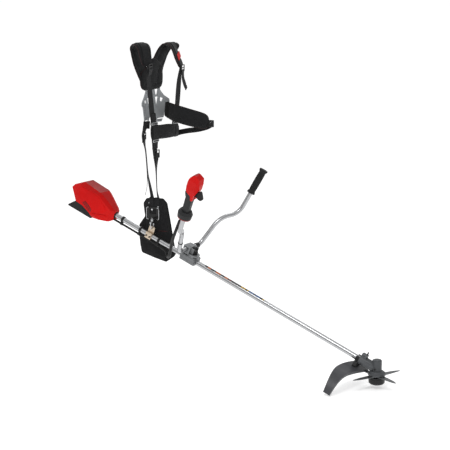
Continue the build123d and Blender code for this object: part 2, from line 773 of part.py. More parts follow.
# --- guard -------------------------------------------------------------------
GT = 3.5
BEND_R, BEND_Y, BEND_A = 132.0, -104.0, 62.0


def guard_profile(t):
    """Arched cross-section of the guard, t thick on its inner side."""
    n0 = GUARD_DROP
    cy, cn = BEND_Y, n0 - BEND_R
    e = radians(90 + BEND_A)
    with BuildSketch(across(190), mode=Mode.PRIVATE) as profile:
        with BuildLine():
            Line((56, n0), (BEND_Y, n0))
            CenterArc((cy, cn), BEND_R, 90, BEND_A)
            o = (cy + BEND_R * cos(e), cn + BEND_R * sin(e))
            d = (-sin(e), cos(e))
            p = (o[0] + d[0] * 16, o[1] + d[1] * 16)
            q = (p[0] - cos(e) * t, p[1] - sin(e) * t)
            i = (cy + (BEND_R - t) * cos(e), cn + (BEND_R - t) * sin(e))
            Line(o, p)
            Line(p, q)
            Line(q, i)
            CenterArc((cy, cn), BEND_R - t, 90, BEND_A)
            Line((BEND_Y, n0 - t), (56, n0 - t))
            Line((56, n0 - t), (56, n0))
        make_face()
    return profile.sketch


def guard_plan(inset):
    """Plan outline of the guard."""
    with BuildSketch(above(-160), mode=Mode.PRIVATE) as plan:
        with BuildLine():
            ThreePointArc((-112, 56), (-146, -105), (-110, -250))
            Line((-110, -250), (-86, -250))
            ThreePointArc((-86, -250), (-81, -110), (-50, 12))
            Line((-50, 12), (-50, 56))
            Line((-50, 56), (-112, 56))
        make_face()
        if inset > 0:
            offset(amount=-inset, mode=Mode.REPLACE)
    return plan.sketch


with BuildPart() as guard_lip:
    extrude(guard_profile(13), amount=170)
    extrude(guard_plan(0), amount=150, mode=Mode.INTERSECT)
    extrude(guard_plan(3.2), amount=150, mode=Mode.SUBTRACT)

with BuildPart() as blade_guard:
    extrude(guard_profile(GT), amount=170)
    extrude(guard_plan(0), amount=150, mode=Mode.INTERSECT)
    add(guard_lip.part)
    for py in (-16, 16):
        ring(above(-60, 99.5, py), 2.45, 0, 40, mode=Mode.SUBTRACT)
save(blade_guard, "blade_guard")

with BuildPart() as guard_bracket:
    with BuildSketch(across(108)):
        with BuildLine():
            Polyline((-17, 12), (17, 12), (17, -14), (27, -30), (27, GUARD_DROP), (-27, GUARD_DROP),
                     (-27, -30), (-17, -14), close=True)
        make_face()
        Circle(TUBE_R, mode=Mode.SUBTRACT)
    extrude(amount=17)
    for py in (-16, 16):
        ring(above(-40, 99.5, py), 2.45, 0, 13, mode=Mode.SUBTRACT)
save(guard_bracket, "guard_bracket")


def cap_screw(plane, length, r=2.5):
    """Socket cap screw, head on the plane, shank into it."""
    with BuildSketch(plane, mode=Mode.PRIVATE) as hd:
        Circle(r * 1.7)
        RegularPolygon(radius=r * 0.9, side_count=6, mode=Mode.SUBTRACT)
    extrude(hd.sketch, amount=r * 1.8)
    with BuildSketch(plane, mode=Mode.PRIVATE) as sh:
        Circle(r)
    extrude(sh.sketch, amount=-length)


with BuildPart() as clamp_screws:
    # gear housing clamp, across the slit
    cap_screw(Plane(origin=at(75, 11, 28.5), x_dir=FWD, z_dir=LEFT), 20, 2.4)
    # tall set screw on top of the tube end
    ring(above(36, 68, 6), 3.2, 0, 12)
    # handlebar clamp base
    for px in (1100, 1042):
        for py in (-21, 21):
            cap_screw(above(19.5, px, py), 12, 2.4)
    # hanger collar
    for px in (1328, 1308):
        cap_screw(Plane(origin=at(px, -17, -2), x_dir=FWD, z_dir=(0, -1, 0)), 3, 2.4)
    # guard bracket, from below
    for py in (-16, 16):
        cap_screw(Plane(origin=at(99.5, py, GUARD_DROP - 3.5), x_dir=FWD, z_dir=UP * -1), 12, 2.4)
    # grease plug
    cap_screw(Plane(origin=(SPINDLE_X, SPINDLE_Y - 21.0, BLADE_Z + 33), x_dir=(1, 0, 0),
                    z_dir=(0, -1, 0)), 3, 2.6)
save(clamp_screws, "clamp_screws")

with BuildPart() as housing_screws:
    for px, pn in SCREWS:
        cap_screw(Plane(origin=screw_seat(px, pn), x_dir=FWD, z_dir=LEFT), 6, 1.9)
save(housing_screws, "housing_screws")

# ===========================================================================
# HARNESS
# ===========================================================================
BACK_R = 330.0                             # curve of the back plate
PAD_Y0, PAD_Y1 = -114.0, -102.0            # hip protector faces


def curved(y):
    """How far the back plate's front face has come forward at y."""
    return BACK_R - sqrt(BACK_R ** 2 - y * y)


def mirrored(points):
    return points + [(-y, z) for y, z in reversed(points) if y > 0.01]


PLATE = [(0, -56), (26, -62), (44, -92), (70, -92), (84, -70), (92, -40), (103, -6), (122, 2),
         (119, 18), (88, 38), (62, 66), (60, 112)]
with BuildPart() as back_plate:
    with BuildSketch(Plane.YZ.offset(-20)):
        with BuildLine():
            Polyline(*mirrored(PLATE), close=True)
        make_face()
    extrude(amount=80)
    with BuildSketch(Plane.XY.offset(-150)):
        with Locations((BACK_R, 0)):
            Circle(BACK_R + 5.0)
            Circle(BACK_R, mode=Mode.SUBTRACT)
    extrude(amount=300, mode=Mode.INTERSECT)
    with BuildSketch(Plane.YZ.offset(-20)):
        for sy in (-1, 1):
            for win in ([(20, 76), (50, 76), (40, 44), (28, 44)],
                        [(24, 34), (48, 34), (34, -18)],
                        [(62, 30), (84, 22), (72, 4), (60, 12)]):
                with BuildLine():
                    Polyline(*[(sy * a, b) for a, b in win], close=True)
                make_face()
        # strap slots in the lower lobes
        for sy in (-1, 1):
            with Locations((sy * 62, -76)):
                Rectangle(44, 5)
    extrude(amount=80, mode=Mode.SUBTRACT)
save(back_plate, "back_plate")



# shoulder pads: over the shoulder from the yoke to the adjuster in front
PAD_LEFT = [((2, 40, 172), (0, 0.86, -0.5), 104), ((-7, 74, 205), (0, 0.78, -0.62), 96),
            ((-12, 108, 236), (0, 0.68, -0.73), 88), ((-10, 134, 262), (-0.1, 0.76, -0.62), 82),
            ((0, 142, 280), (0.0, 0.94, -0.3), 78), ((22, 132, 288), (0.1, 0.98, 0), 76),
            ((50, 112, 283), (-0.1, 0.98, 0), 76), ((66, 106, 258), (-0.28, 0.96, 0), 76),
            ((71, 118, 226), (-0.28, 0.96, 0), 70), ((75, 133, 194), (-0.28, 0.96, 0), 58),
            ((77, 140, 176), (-0.28, 0.96, 0), 50)]
PAD_RIGHT = [((3, -58, 128), (0, -0.88, -0.47), 88), ((-7, -82, 176), (0, -0.92, -0.38), 84),
             ((-13, -102, 218), (0, -0.97, -0.22), 80), ((-14, -113, 254), (0, -1, 0), 80),
             ((-6, -122, 284), (-0.1, -0.99, 0), 80), ((16, -136, 300), (-0.22, -0.97, 0), 80),
             ((44, -152, 300), (-0.28, -0.96, 0), 78), ((63, -160, 284), (-0.28, -0.96, 0), 76),
             ((71, -161, 254), (-0.28, -0.96, 0), 70), ((74, -156, 226), (-0.28, -0.96, 0), 62),
             ((76, -150, 206), (-0.28, -0.96, 0), 52)]
with BuildPart() as shoulder_pad_left:
    ribbon([(p, d) for p, d, _ in PAD_LEFT], [w for _, _, w in PAD_LEFT], 13)
save(shoulder_pad_left, "shoulder_pad_left")

with BuildPart() as shoulder_pad_right:
    ribbon([(p, d) for p, d, _ in PAD_RIGHT], [w for _, _, w in PAD_RIGHT], 13)
save(shoulder_pad_right, "shoulder_pad_right")

YOKE_R = [(0, 74), (-66, 74), (-88, 82), (-99, 100), (-101, 130), (-96, 162), (-60, 170), (0, 176)]
YOKE_L = [(50, 196), (84, 182), (88, 140), (86, 104), (76, 84), (58, 74)]
with BuildPart() as yoke_pad:
    with BuildSketch(Plane.YZ.offset(-9)):
        with BuildLine():
            Polyline(*(YOKE_R + YOKE_L), close=True)
        make_face()
    extrude(amount=20)
    # pocket that the upper edge of the plate slips into
    with BuildSketch(Plane.XY.offset(60)):
        with Locations((BACK_R, 0)):
            Circle(BACK_R + 5.3)
            Circle(BACK_R - 0.3, mode=Mode.SUBTRACT)
    with BuildSketch(Plane.XY.offset(60)) as pocket_width:
        Rectangle(60, 128)
    extrude(amount=54, mode=Mode.SUBTRACT)
    add(shoulder_pad_left.part, mode=Mode.SUBTRACT)
    add(shoulder_pad_right.part, mode=Mode.SUBTRACT)
save(yoke_pad, "yoke_pad")

BELT = [((23, 88, -28), 76), ((48, 73, -34), 80), ((84, 60, -42), 82), ((112, 58, -48), 83),
        ((182, 57, -61), 82), ((250, 55, -71), 76), ((278, 53, -77), 66), ((293, 52, -80), 44)]
with BuildPart() as waist_belt:
    ribbon([(p, (0, 0, 1)) for p, _ in BELT], [h for _, h in BELT], 14)
save(waist_belt, "waist_belt")

FRONT = [((74, -124, -119), 60), ((83, -70, -124), 65), ((86, 0, -127), 66), ((83, 62, -131), 60),
         ((75, 116, -133), 46)]
with BuildPart() as front_pad:
    ribbon([(p, (0, 0, 1)) for p, _ in FRONT], [h for _, h in FRONT], 15)
save(front_pad, "front_pad")

HIP = [(35, -452), (82, -447), (130, -446), (151, -465), (168, -548), (183, -629), (199, -710),
       (190, -724), (144, -756), (76, -742), (4, -724), (-4, -690), (-9, -646), (-9, -587),
       (26, -542), (20, -500), (17, -476)]
with BuildPart() as hip_protector:
    with BuildSketch(Plane(origin=(0, PAD_Y1, 0), x_dir=(1, 0, 0), z_dir=(0, -1, 0))):
        with BuildLine():
            Polyline(*HIP, close=True)
        make_face()
    extrude(amount=PAD_Y1 - PAD_Y0)
save(hip_protector, "hip_protector")

# webbing of the shoulder straps and the waist
with BuildPart() as shoulder_webbing_a:
    ribbon([((76, -147, 184), (0.2, -0.98, 0)), ((75, -140, 130), (0.1, -1, 0)),
            ((74, -128, 60), (0, -1, 0)), ((73, -114, -20), (0, -1, 0)),
            ((72, -104, -73), (0, -1, 0))], WEB_W, WEB_T)
with BuildPart() as shoulder_webbing_b:
    ribbon([((77, 136, 162), (-0.28, 0.96, 0)), ((78, 120, 90), (-0.28, 0.96, 0)),
            ((78, 106, 0), (-0.2, 0.98, 0)), ((76, 96, -50), (-0.1, 0.99, 0)),
            ((74, 88, -89), (0, 1, 0))], WEB_W, WEB_T)
with BuildPart() as shoulder_webbing_c:
    # loose tail of the left strap
    ribbon([((91, 146, 154), (-0.28, 0.96, 0)), ((93, 158, 118), (-0.28, 0.96, 0)),
            ((95, 186, 62), (-0.28, 0.96, 0))], 26, 2.0)
with BuildPart() as shoulder_webbing_d:
    ribbon([((86, 124, -144), (0, 0.1, 1)), ((140, 106, -134), (0, 0.1, 1)),
            ((210, 88, -121), (0, 0.1, 1)), ((270, 74, -104), (0, 0.1, 1)),
            ((300, 66, -90), (0, 0.1, 1))], 26, 2.2)
with BuildPart() as shoulder_webbing:
    for w in (shoulder_webbing_a, shoulder_webbing_b, shoulder_webbing_c, shoulder_webbing_d):
        add(w.part)
save(shoulder_webbing, "shoulder_webbing")

# webbing that carries the hip protector
with BuildPart() as suspension_a:
    ribbon([((12, -72, -80), (0.1, 1, 0)), ((11, -90, -118), (-0.1, 1, 0)),
            ((14, -106, -152), (-0.25, 0.97, 0)), ((30, -109, -210), (-0.42, 0.91, 0)),
            ((40, -113, -270), (-0.45, 0.89, 0)), ((46, -112, -340), (-0.4, 0.92, 0)),
            ((56, -109, -396), (-0.1, 0.99, 0)), ((66, -108, -442), (0.1, 0.99, 0))],
           [WEB_W, 34, 30, 27, 27, 27, 24, 24], 2.0)
with BuildPart() as suspension_b:
    ribbon([((70, -91, -159), (0, 1, 0)), ((72, -90, -205), (0, 1, 0)),
            ((74, -88, -246), (0, 1, 0)), ((81, -95, -306), (-0.42, 0.91, 0)),
            ((89, -103, -372), (-0.45, 0.89, 0)), ((94, -107, -412), (-0.45, 0.89, 0)),
            ((98, -108, -439), (-0.45, 0.89, 0))],
           [WEB_W, WEB_W, 34, 27, 27, 24, 24], 2.0)
with BuildPart() as suspension_webbing:
    add(suspension_a.part)
    add(suspension_b.part)
save(suspension_webbing, "suspension_webbing")


def strap_loop(centre, wdir, up, width, height, bar=4.0, thick=4.0, mid=False):
    """Rectangular strap loop or, with a middle bar, a ladder adjuster."""
    z = Vector(*wdir).cross(Vector(*up)).normalized()
    with BuildSketch(Plane(origin=Vector(*centre) - z * (thick / 2), x_dir=Vector(*wdir), z_dir=z),
                     mode=Mode.PRIVATE) as frame_sk:
        RectangleRounded(width, height, 2.0)
        if mid:
            with Locations((0, height / 4 - 0.6), (0, -height / 4 + 0.6)):
                Rectangle(width - 2 * bar, height / 2 - bar - 1.6, mode=Mode.SUBTRACT)
        else:
            Rectangle(width - 2 * bar, height - 2 * bar, mode=Mode.SUBTRACT)
    extrude(frame_sk.sketch, amount=thick)


with BuildPart() as strap_hardware:
    # adjusters under the shoulder pads
    strap_loop((93.4, -151, 197), (0.28, -0.96, 0), (0, 0, 1), 50, 30, mid=True)
    strap_loop((88, 144, 172), (-0.28, 0.96, 0), (0, 0, 1), 50, 30, mid=True)
    # loops of the front pad
    strap_loop((76, -102, -80.5), (0, -1, 0), (0, 0, 1), 54, 13)
    strap_loop((78, 86, -93.5), (0, 1, 0), (0, 0, 1), 54, 13)
    strap_loop((76, -92, -165), (0, -1, 0), (0, 0, 1), 54, 13)
    # adjusters of the suspension straps
    strap_loop((22, -107, -146), (-0.25, 0.97, 0), (0, 0, 1), 50, 34, mid=True)
    strap_loop((80, -87, -231), (0, 1, 0), (0, 0, 1), 50, 40, mid=True)
save(strap_hardware, "strap_hardware")

with BuildPart() as belt_buckle:
    with BuildSketch(Plane(origin=(296, 46, -82), x_dir=(0, 1, 0), z_dir=(1, 0, 0))):
        with Locations((6, 0)):
            RectangleRounded(11, 34, 3)
    extrude(amount=24)
    with BuildSketch(Plane(origin=(302, 40, -82), x_dir=(1, 0, 0), z_dir=(0, 1, 0))):
        with Locations((4, 0)):
            Rectangle(8, 18)
    extrude(amount=24, mode=Mode.SUBTRACT)
    add(waist_belt.part, mode=Mode.SUBTRACT)
save(belt_buckle, "belt_buckle")

# hanger hardware of the hip protector ----------------------------------------
HOOK = at(HANGER_STATION, 0, HOOK_RISE)    # pivot, on the rod of the hook
with BuildPart() as hook_frame:
    # carrier plate riveted to the protector
    with BuildSketch(Plane(origin=(HOOK.X - 14, PAD_Y0, HOOK.Z + 70), x_dir=(1, 0, 0),
                           z_dir=(0, -1, 0))):
        RectangleRounded(62, 58, 7)
        with Locations((0, 8)):
            RectangleRounded(40, 26, 4, mode=Mode.SUBTRACT)
    extrude(amount=3)
    # tongue that carries the swivel
    with BuildSketch(Plane(origin=(HOOK.X, HOOK.Y, HOOK.Z + 46))):
        with Locations((0, 13)):
            Rectangle(18, 36)
        Circle(9)
        Circle(2.8, mode=Mode.SUBTRACT)
    extrude(amount=3)
    # rivets
    for rx in (-12, 12):
        for rz in (28, -22):
            ring(Plane(origin=(HOOK.X - 14 + rx * 1.9, PAD_Y0 - 3, HOOK.Z + 70 + rz * 0.85),
                       x_dir=(1, 0, 0), z_dir=(0, -1, 0)), 3.6, 0, 1.6)
save(hook_frame, "hook_frame")

with BuildPart() as snap_hook:
    with BuildLine() as hook_line:
        FilletPolyline(*[HOOK + LEFT * a + Vector(0, 0, 1) * b for a, b in
                         ((0.0, 38.0), (0.0, 30.0), (12.0, 25.0), (12.0, 0.0), (-12.0, 0.0), (-12.0, 8.5))],
                       radius=[2.5, 4.0, 3.6, 3.6])
    with BuildSketch(Plane(origin=hook_line.line @ 0, z_dir=hook_line.line % 0)):
        Circle(HOOK_ROD_R)
    sweep()
    # gate lug
    with BuildSketch(Plane(origin=HOOK + Vector(-4.6, 0, 0), x_dir=(0, 1, 0), z_dir=(1, 0, 0))):
        with BuildLine():
            Polyline((0, 37), (0, 28), (-6, 25.2), (-14.5, 25.2), (-15.5, 30), (-12, 34), close=True)
        make_face()
    extrude(amount=9.2)
    with BuildSketch(Plane(origin=HOOK + Vector(-2.7, 0, 0), x_dir=(0, 1, 0), z_dir=(1, 0, 0))):
        with BuildLine():
            Polyline((-6.5, 32.8), (-6.5, 20), (-20, 20), (-20, 32.8), close=True)
        make_face()
    extrude(amount=5.4, mode=Mode.SUBTRACT)
    # swivel barrel and pin
    ring(Plane(origin=HOOK + Vector(0, 0, 35.5)), 6.0, 0, 10.2)
    ring(Plane(origin=HOOK + Vector(0, 0, 45)), 2.6, 0, 5.2)
    ring(Plane(origin=HOOK + Vector(0, 0, 49.3)), 5.0, 0, 2.2)
    # gate pin
    ring(Plane(origin=HOOK + Vector(-4.6, -12, 28.8), x_dir=(0, 1, 0), z_dir=(1, 0, 0)), 1.3, 0, 9.2)
save(snap_hook, "snap_hook")

with BuildPart() as hook_gate:
    with BuildSketch(Plane(origin=HOOK + Vector(-2.4, -12, 0), x_dir=(0, 1, 0), z_dir=(1, 0, 0))):
        with BuildLine():
            Polyline((-2.6, 31.4), (2.6, 31.4), (2.6, 12.2), (1.8, 9.4), (-2.6, 9.4), close=True)
        make_face()
        with Locations((0, 28.8)):
            Circle(1.35, mode=Mode.SUBTRACT)
    extrude(amount=4.8)
save(hook_gate, "hook_gate")
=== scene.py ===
import json
import math
import bmesh
import bpy
import numpy as np
from mathutils import Matrix, Vector

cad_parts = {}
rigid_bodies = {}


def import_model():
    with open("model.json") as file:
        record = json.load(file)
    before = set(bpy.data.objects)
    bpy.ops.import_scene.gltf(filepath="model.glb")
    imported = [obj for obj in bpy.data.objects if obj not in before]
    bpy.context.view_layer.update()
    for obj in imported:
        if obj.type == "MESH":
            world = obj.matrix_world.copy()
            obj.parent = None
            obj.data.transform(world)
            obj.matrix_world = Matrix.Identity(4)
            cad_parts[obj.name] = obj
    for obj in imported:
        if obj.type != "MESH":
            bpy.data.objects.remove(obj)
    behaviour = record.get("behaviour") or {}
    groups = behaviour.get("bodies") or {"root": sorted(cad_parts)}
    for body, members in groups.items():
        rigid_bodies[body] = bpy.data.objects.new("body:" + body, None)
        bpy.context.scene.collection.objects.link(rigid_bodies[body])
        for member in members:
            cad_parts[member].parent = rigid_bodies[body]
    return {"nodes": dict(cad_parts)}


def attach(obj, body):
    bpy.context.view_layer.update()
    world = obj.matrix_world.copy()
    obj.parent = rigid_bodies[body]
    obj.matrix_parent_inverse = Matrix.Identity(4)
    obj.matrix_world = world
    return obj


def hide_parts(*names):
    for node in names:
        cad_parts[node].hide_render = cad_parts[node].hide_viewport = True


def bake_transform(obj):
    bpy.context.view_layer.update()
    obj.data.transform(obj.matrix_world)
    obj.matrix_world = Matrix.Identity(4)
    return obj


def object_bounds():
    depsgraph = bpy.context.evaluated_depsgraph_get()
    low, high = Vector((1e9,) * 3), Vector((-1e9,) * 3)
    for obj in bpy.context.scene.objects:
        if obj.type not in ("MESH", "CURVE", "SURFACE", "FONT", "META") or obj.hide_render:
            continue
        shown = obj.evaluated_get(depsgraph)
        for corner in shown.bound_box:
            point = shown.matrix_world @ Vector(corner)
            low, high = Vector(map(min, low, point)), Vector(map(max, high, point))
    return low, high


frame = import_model()
NODES = frame["nodes"]
CAD_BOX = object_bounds()

# ---------------------------------------------------------------------------
# the machine's own directions, in the row frame (mm in, metres out)
# ---------------------------------------------------------------------------
TH = math.radians(21.6)
FWD = Vector((math.cos(TH), 0, -math.sin(TH)))
UP = Vector((math.sin(TH), 0, math.cos(TH)))
LEFT = Vector((0, 1, 0))
SPIN = Vector((1300, -145, -1140))


def at(s, y=0.0, n=0.0):
    return (Vector((1300, -145, -1110)) - FWD * s + LEFT * y + UP * n) / 1000


def mm(x, y, z):
    return Vector((x, y, z)) / 1000


HOOK = at(1318, 0, 38)

# ---------------------------------------------------------------------------
# materials
# ---------------------------------------------------------------------------


class Mat:
    """A principled material with a few procedural layers."""

    def __init__(self, name, color, rough=0.5, metal=0.0, **extra):
        self.m = bpy.data.materials.new(name)
        self.m.use_nodes = True
        self.t = self.m.node_tree
        self.n = self.t.nodes
        self.l = self.t.links
        self.b = self.n["Principled BSDF"]
        self.b.inputs["Base Color"].default_value = (*color, 1)
        self.b.inputs["Roughness"].default_value = rough
        self.b.inputs["Metallic"].default_value = metal
        for k, v in extra.items():
            self.b.inputs[k].default_value = v
        self.m.diffuse_color = (*color, 1)
        self.color = color
        self.rough = rough
        self._coord = None
        self.height = None

    def node(self, kind, **inputs):
        nd = self.n.new(kind)
        for k, v in inputs.items():
            if k in nd.inputs:
                nd.inputs[k].default_value = v
            else:
                setattr(nd, k, v)
        return nd

    def coord(self, which="Object"):
        if self._coord is None:
            self._coord = self.n.new("ShaderNodeTexCoord")
        return self._coord.outputs[which]

    def mapped(self, scale, which="Object", rot=(0, 0, 0)):
        mp = self.n.new("ShaderNodeMapping")
        self.l.new(self.coord(which), mp.inputs["Vector"])
        mp.inputs["Scale"].default_value = scale
        mp.inputs["Rotation"].default_value = rot
        return mp.outputs["Vector"]

    def noise(self, scale, detail=3.0, rough=0.55, vec=None):
        nz = self.n.new("ShaderNodeTexNoise")
        self.l.new(vec if vec is not None else self.coord(), nz.inputs["Vector"])
        nz.inputs["Scale"].default_value = scale
        nz.inputs["Detail"].default_value = detail
        nz.inputs["Roughness"].default_value = rough
        return nz.outputs["Fac"]

    def math(self, op, a, b=None, clamp=False):
        md = self.n.new("ShaderNodeMath")
        md.operation = op
        md.use_clamp = clamp
        for i, v in enumerate((a, b)):
            if v is None:
                continue
            if isinstance(v, (int, float)):
                md.inputs[i].default_value = v
            else:
                self.l.new(v, md.inputs[i])
        return md.outputs[0]

    def ramp(self, fac, stops, interp="LINEAR"):
        r = self.n.new("ShaderNodeValToRGB")
        r.color_ramp.interpolation = interp
        e = r.color_ramp.elements
        while len(e) > 1:
            e.remove(e[-1])
        e[0].position, e[0].color = stops[0][0], (*stops[0][1], 1)
        for p, c in stops[1:]:
            el = e.new(p)
            el.color = (*c, 1)
        self.l.new(fac, r.inputs["Fac"])
        return r.outputs["Color"]

    def mix(self, fac, a, b):
        mx = self.n.new("ShaderNodeMix")
        mx.data_type = "RGBA"
        if isinstance(fac, (int, float)):
            mx.inputs[0].default_value = fac
        else:
            self.l.new(fac, mx.inputs[0])
        for i, v in ((6, a), (7, b)):
            if isinstance(v, tuple):
                mx.inputs[i].default_value = (*v, 1)
            else:
                self.l.new(v, mx.inputs[i])
        return mx.outputs[2]

    def set_color(self, out):
        self.l.new(out, self.b.inputs["Base Color"])

    def set_rough(self, fac, low, high):
        mr = self.n.new("ShaderNodeMapRange")
        self.l.new(fac, mr.inputs["Value"])
        mr.inputs["From Min"].default_value = 0.3
        mr.inputs["From Max"].default_value = 0.7
        mr.inputs["To Min"].default_value = low
        mr.inputs["To Max"].default_value = high
        self.l.new(mr.outputs[0], self.b.inputs["Roughness"])

    def bump(self, height, strength=0.3, distance=0.0005):
        bp = self.n.new("ShaderNodeBump")
        bp.inputs["Strength"].default_value = strength
        bp.inputs["Distance"].default_value = distance
        self.l.new(height, bp.inputs["Height"])
        if self.height is not None:
            self.l.new(self.height, bp.inputs["Normal"])
        self.height = bp.outputs["Normal"]
        self.l.new(self.height, self.b.inputs["Normal"])

    def worn_edges(self, base, light, amount=0.5):
        """Slightly lighter, rubbed edges."""
        geo = self.n.new("ShaderNodeNewGeometry")
        mr = self.n.new("ShaderNodeMapRange")
        self.l.new(geo.outputs["Pointiness"], mr.inputs["Value"])
        mr.inputs["From Min"].default_value = 0.52
        mr.inputs["From Max"].default_value = 0.62
        edge = self.math("MULTIPLY", mr.outputs[0], self.noise(60, 4))
        edge = self.math("MULTIPLY", edge, amount, clamp=True)
        return self.mix(edge, base, light)


def plastic(name, color, rough=0.42, grain=1400, depth=0.25, light=None, tint=0.12, **extra):
    """Moulded plastic: fine spark-eroded grain, faint flow marks, rubbed edges."""
    m = Mat(name, color, rough, **{"Specular IOR Level": 0.26, **extra})
    dark = tuple(c * (1 - tint) for c in color)
    lite = tuple(min(1, c * (1 + tint)) for c in color)
    base = m.ramp(m.noise(9, 3), [(0.35, dark), (0.65, lite)])
    light = light or tuple(min(1, c * 1.7 + 0.008) for c in color)
    m.set_color(m.worn_edges(base, light, 0.5))
    m.set_rough(m.noise(26, 5), rough - 0.06, rough + 0.10)
    m.bump(m.noise(grain, 2), depth, 0.00012)
    return m.m


def metal(name, color, rough=0.28, streak=(400, 400, 12), depth=0.12, rot=(0, 0, 0), **extra):
    """Brushed or drawn metal with streaks along one direction."""
    m = Mat(name, color, rough, 1.0, **extra)
    v = m.mapped(streak, rot=rot)
    s = m.noise(1.0, 4, 0.6, v)
    dark = tuple(c * 0.82 for c in color)
    m.set_color(m.mix(m.noise(14, 3), m.ramp(s, [(0.3, dark), (0.7, color)]), color))
    m.set_rough(s, rough * 0.75, rough * 1.35)
    m.bump(s, depth, 0.0001)
    return m.m


def casting(name, color, rough=0.5, metallic=0.75, grain=700):
    m = Mat(name, color, rough, metallic)
    dark = tuple(c * 0.8 for c in color)
    base = m.ramp(m.noise(18, 4), [(0.3, dark), (0.7, color)])
    m.set_color(m.worn_edges(base, tuple(min(1, c * 1.9 + 0.05) for c in color), 0.7))
    m.set_rough(m.noise(40, 4), rough - 0.08, rough + 0.12)
    m.bump(m.noise(grain, 3), 0.35, 0.0003)
    return m.m


def painted(name, color, rough=0.4, grain=900):
    m = Mat(name, color, rough, 0.0, **{"Coat Weight": 0.06, "Coat Roughness": 0.3, "Specular IOR Level": 0.3})
    base = m.ramp(m.noise(12, 4), [(0.3, tuple(c * 0.86 for c in color)), (0.7, color)])
    m.set_color(m.worn_edges(base, tuple(min(1, c * 2.2 + 0.06) for c in color), 0.6))
    m.set_rough(m.noise(30, 4), rough - 0.07, rough + 0.1)
    m.bump(m.noise(grain, 2), 0.25, 0.0002)
    return m.m


def weave(name, color, pitch=0.0011, thread=None, use_uv=True, stitch=None, rib=False, sheen=0.07,
          rough=0.84, fade=0.35):
    """Woven nylon, with UVs in metres (u across, v along).
    stitch = [(distance in from either edge), ...] in metres, with the width in the UV's second layer: not used."""
    m = Mat(name, color, rough, 0.0, **{"Sheen Weight": sheen, "Sheen Roughness": 0.45,
                                        "Specular IOR Level": 0.22})
    src = m.coord("UV") if use_uv else m.coord("Object")
    sep = m.n.new("ShaderNodeSeparateXYZ")
    m.l.new(src, sep.inputs[0])
    k = 2 * math.pi / pitch
    a = m.math("SINE", m.math("MULTIPLY", sep.outputs[0], k * (0.55 if rib else 1.0)))
    b = m.math("SINE", m.math("MULTIPLY", sep.outputs[1], k))
    if rib:
        # ribs across the webbing, offset on every other warp
        ph = m.math("MULTIPLY", m.math("SIGN", a), 1.4)
        b = m.math("SINE", m.math("ADD", m.math("MULTIPLY", sep.outputs[1], k), ph))
        hgt = m.math("ADD", m.math("MULTIPLY", b, 0.5), m.math("MULTIPLY", m.math("ABSOLUTE", a), 0.4))
    else:
        # plain weave: checker of over and under
        hgt = m.math("MULTIPLY", a, b)
    if not use_uv:
        c = m.math("SINE", m.math("MULTIPLY", sep.outputs[2], k))
        hgt = m.math("ADD", m.math("MULTIPLY", a, c), m.math("MULTIPLY", b, c))
    # painted highlight and shade: raised threads are coloured lighter and the dips between them darker
    lite = thread or tuple(min(1, c * 2.0 + 0.003) for c in color)
    dark = tuple(c * 0.55 for c in color)
    col = m.ramp(m.math("ADD", m.math("MULTIPLY", hgt, 0.35), 0.5), [(0.15, dark), (0.85, lite)])
    # uneven fading
    col = m.mix(m.math("MULTIPLY", m.noise(22, 4), fade), col, tuple(min(1, c * 1.5 + 0.0015) for c in color))
    m.bump(m.noise(55, 4), 0.35, 0.0009)
    m.bump(hgt, 0.55, 0.00022)
    m.set_color(col)
    m.set_rough(m.noise(40, 3), rough - 0.08, rough + 0.08)
    m.sep = sep
    return m


MATS = {}


def red_shell():
    """Red moulding with painted shade: surfaces that face up are mixed towards a darker red."""
    m = Mat("red_moulding", (0.46, 0.002, 0.002), 0.42, **{"Specular IOR Level": 0.10})
    base = m.ramp(m.noise(9, 3), [(0.35, (0.51, 0.0022, 0.0020)), (0.65, (0.59, 0.0032, 0.0028))])
    # painted shade: the more a surface's normal points up, the darker red it is coloured
    sep = m.n.new("ShaderNodeSeparateXYZ")
    m.l.new(m.coord("Normal"), sep.inputs[0])
    up = m.math("MULTIPLY", m.math("SUBTRACT", sep.outputs[2], 0.45), 3.0, clamp=True)
    base = m.mix(up, base, (0.25, 0.0016, 0.0015))
    m.set_color(m.worn_edges(base, (0.55, 0.02, 0.018), 0.4))
    m.set_rough(m.noise(26, 5), 0.34, 0.50)
    m.bump(m.noise(1400, 2), 0.18, 0.00012)
    return m.m


MATS["red"] = red_shell()
# darker red for the collar ring; also used as painted shade in the vent recesses
MATS["red_dark"] = plastic("red_shade_moulding", (0.20, 0.003, 0.0035), 0.46, tint=0.08)
MATS["black"] = plastic("black_moulding", (0.0055, 0.0055, 0.006), 0.46)
MATS["dark_grey"] = plastic("dark_grey_moulding", (0.0160, 0.0163, 0.0172), 0.5)
MATS["grey"] = plastic("grey_moulding", (0.275, 0.289, 0.300), 0.5, light=(0.36, 0.37, 0.38))
MATS["guard"] = plastic("guard_moulding", (0.049, 0.051, 0.056), 0.36, light=(0.10, 0.10, 0.11))
MATS["rubber"] = plastic("grip_rubber", (0.0095, 0.0095, 0.0105), 0.66, grain=900, depth=0.4)
MATS["tube"] = metal("bright_tube", (0.46, 0.465, 0.475), 0.24, streak=(14, 420, 420),
                     rot=(0, -TH, 0))
MATS["bar"] = metal("satin_bar", (0.45, 0.455, 0.465), 0.30, streak=(60, 60, 60), depth=0.05)
MATS["cast"] = casting("cast_grey", (0.145, 0.15, 0.155), 0.5)
MATS["gearbox"] = painted("gearbox_grey", (0.060, 0.064, 0.069), 0.42)
MATS["zinc"] = metal("yellow_zinc", (0.60, 0.50, 0.39), 0.36, streak=(90, 90, 90), depth=0.1)
MATS["steel"] = metal("steel", (0.50, 0.51, 0.52), 0.3, streak=(60, 60, 60))
MATS["blade"] = metal("blade_steel", (0.15, 0.155, 0.16), 0.34, streak=(40, 40, 400), depth=0.2)
MATS["black_steel"] = painted("black_steel", (0.007, 0.007, 0.0075), 0.36)
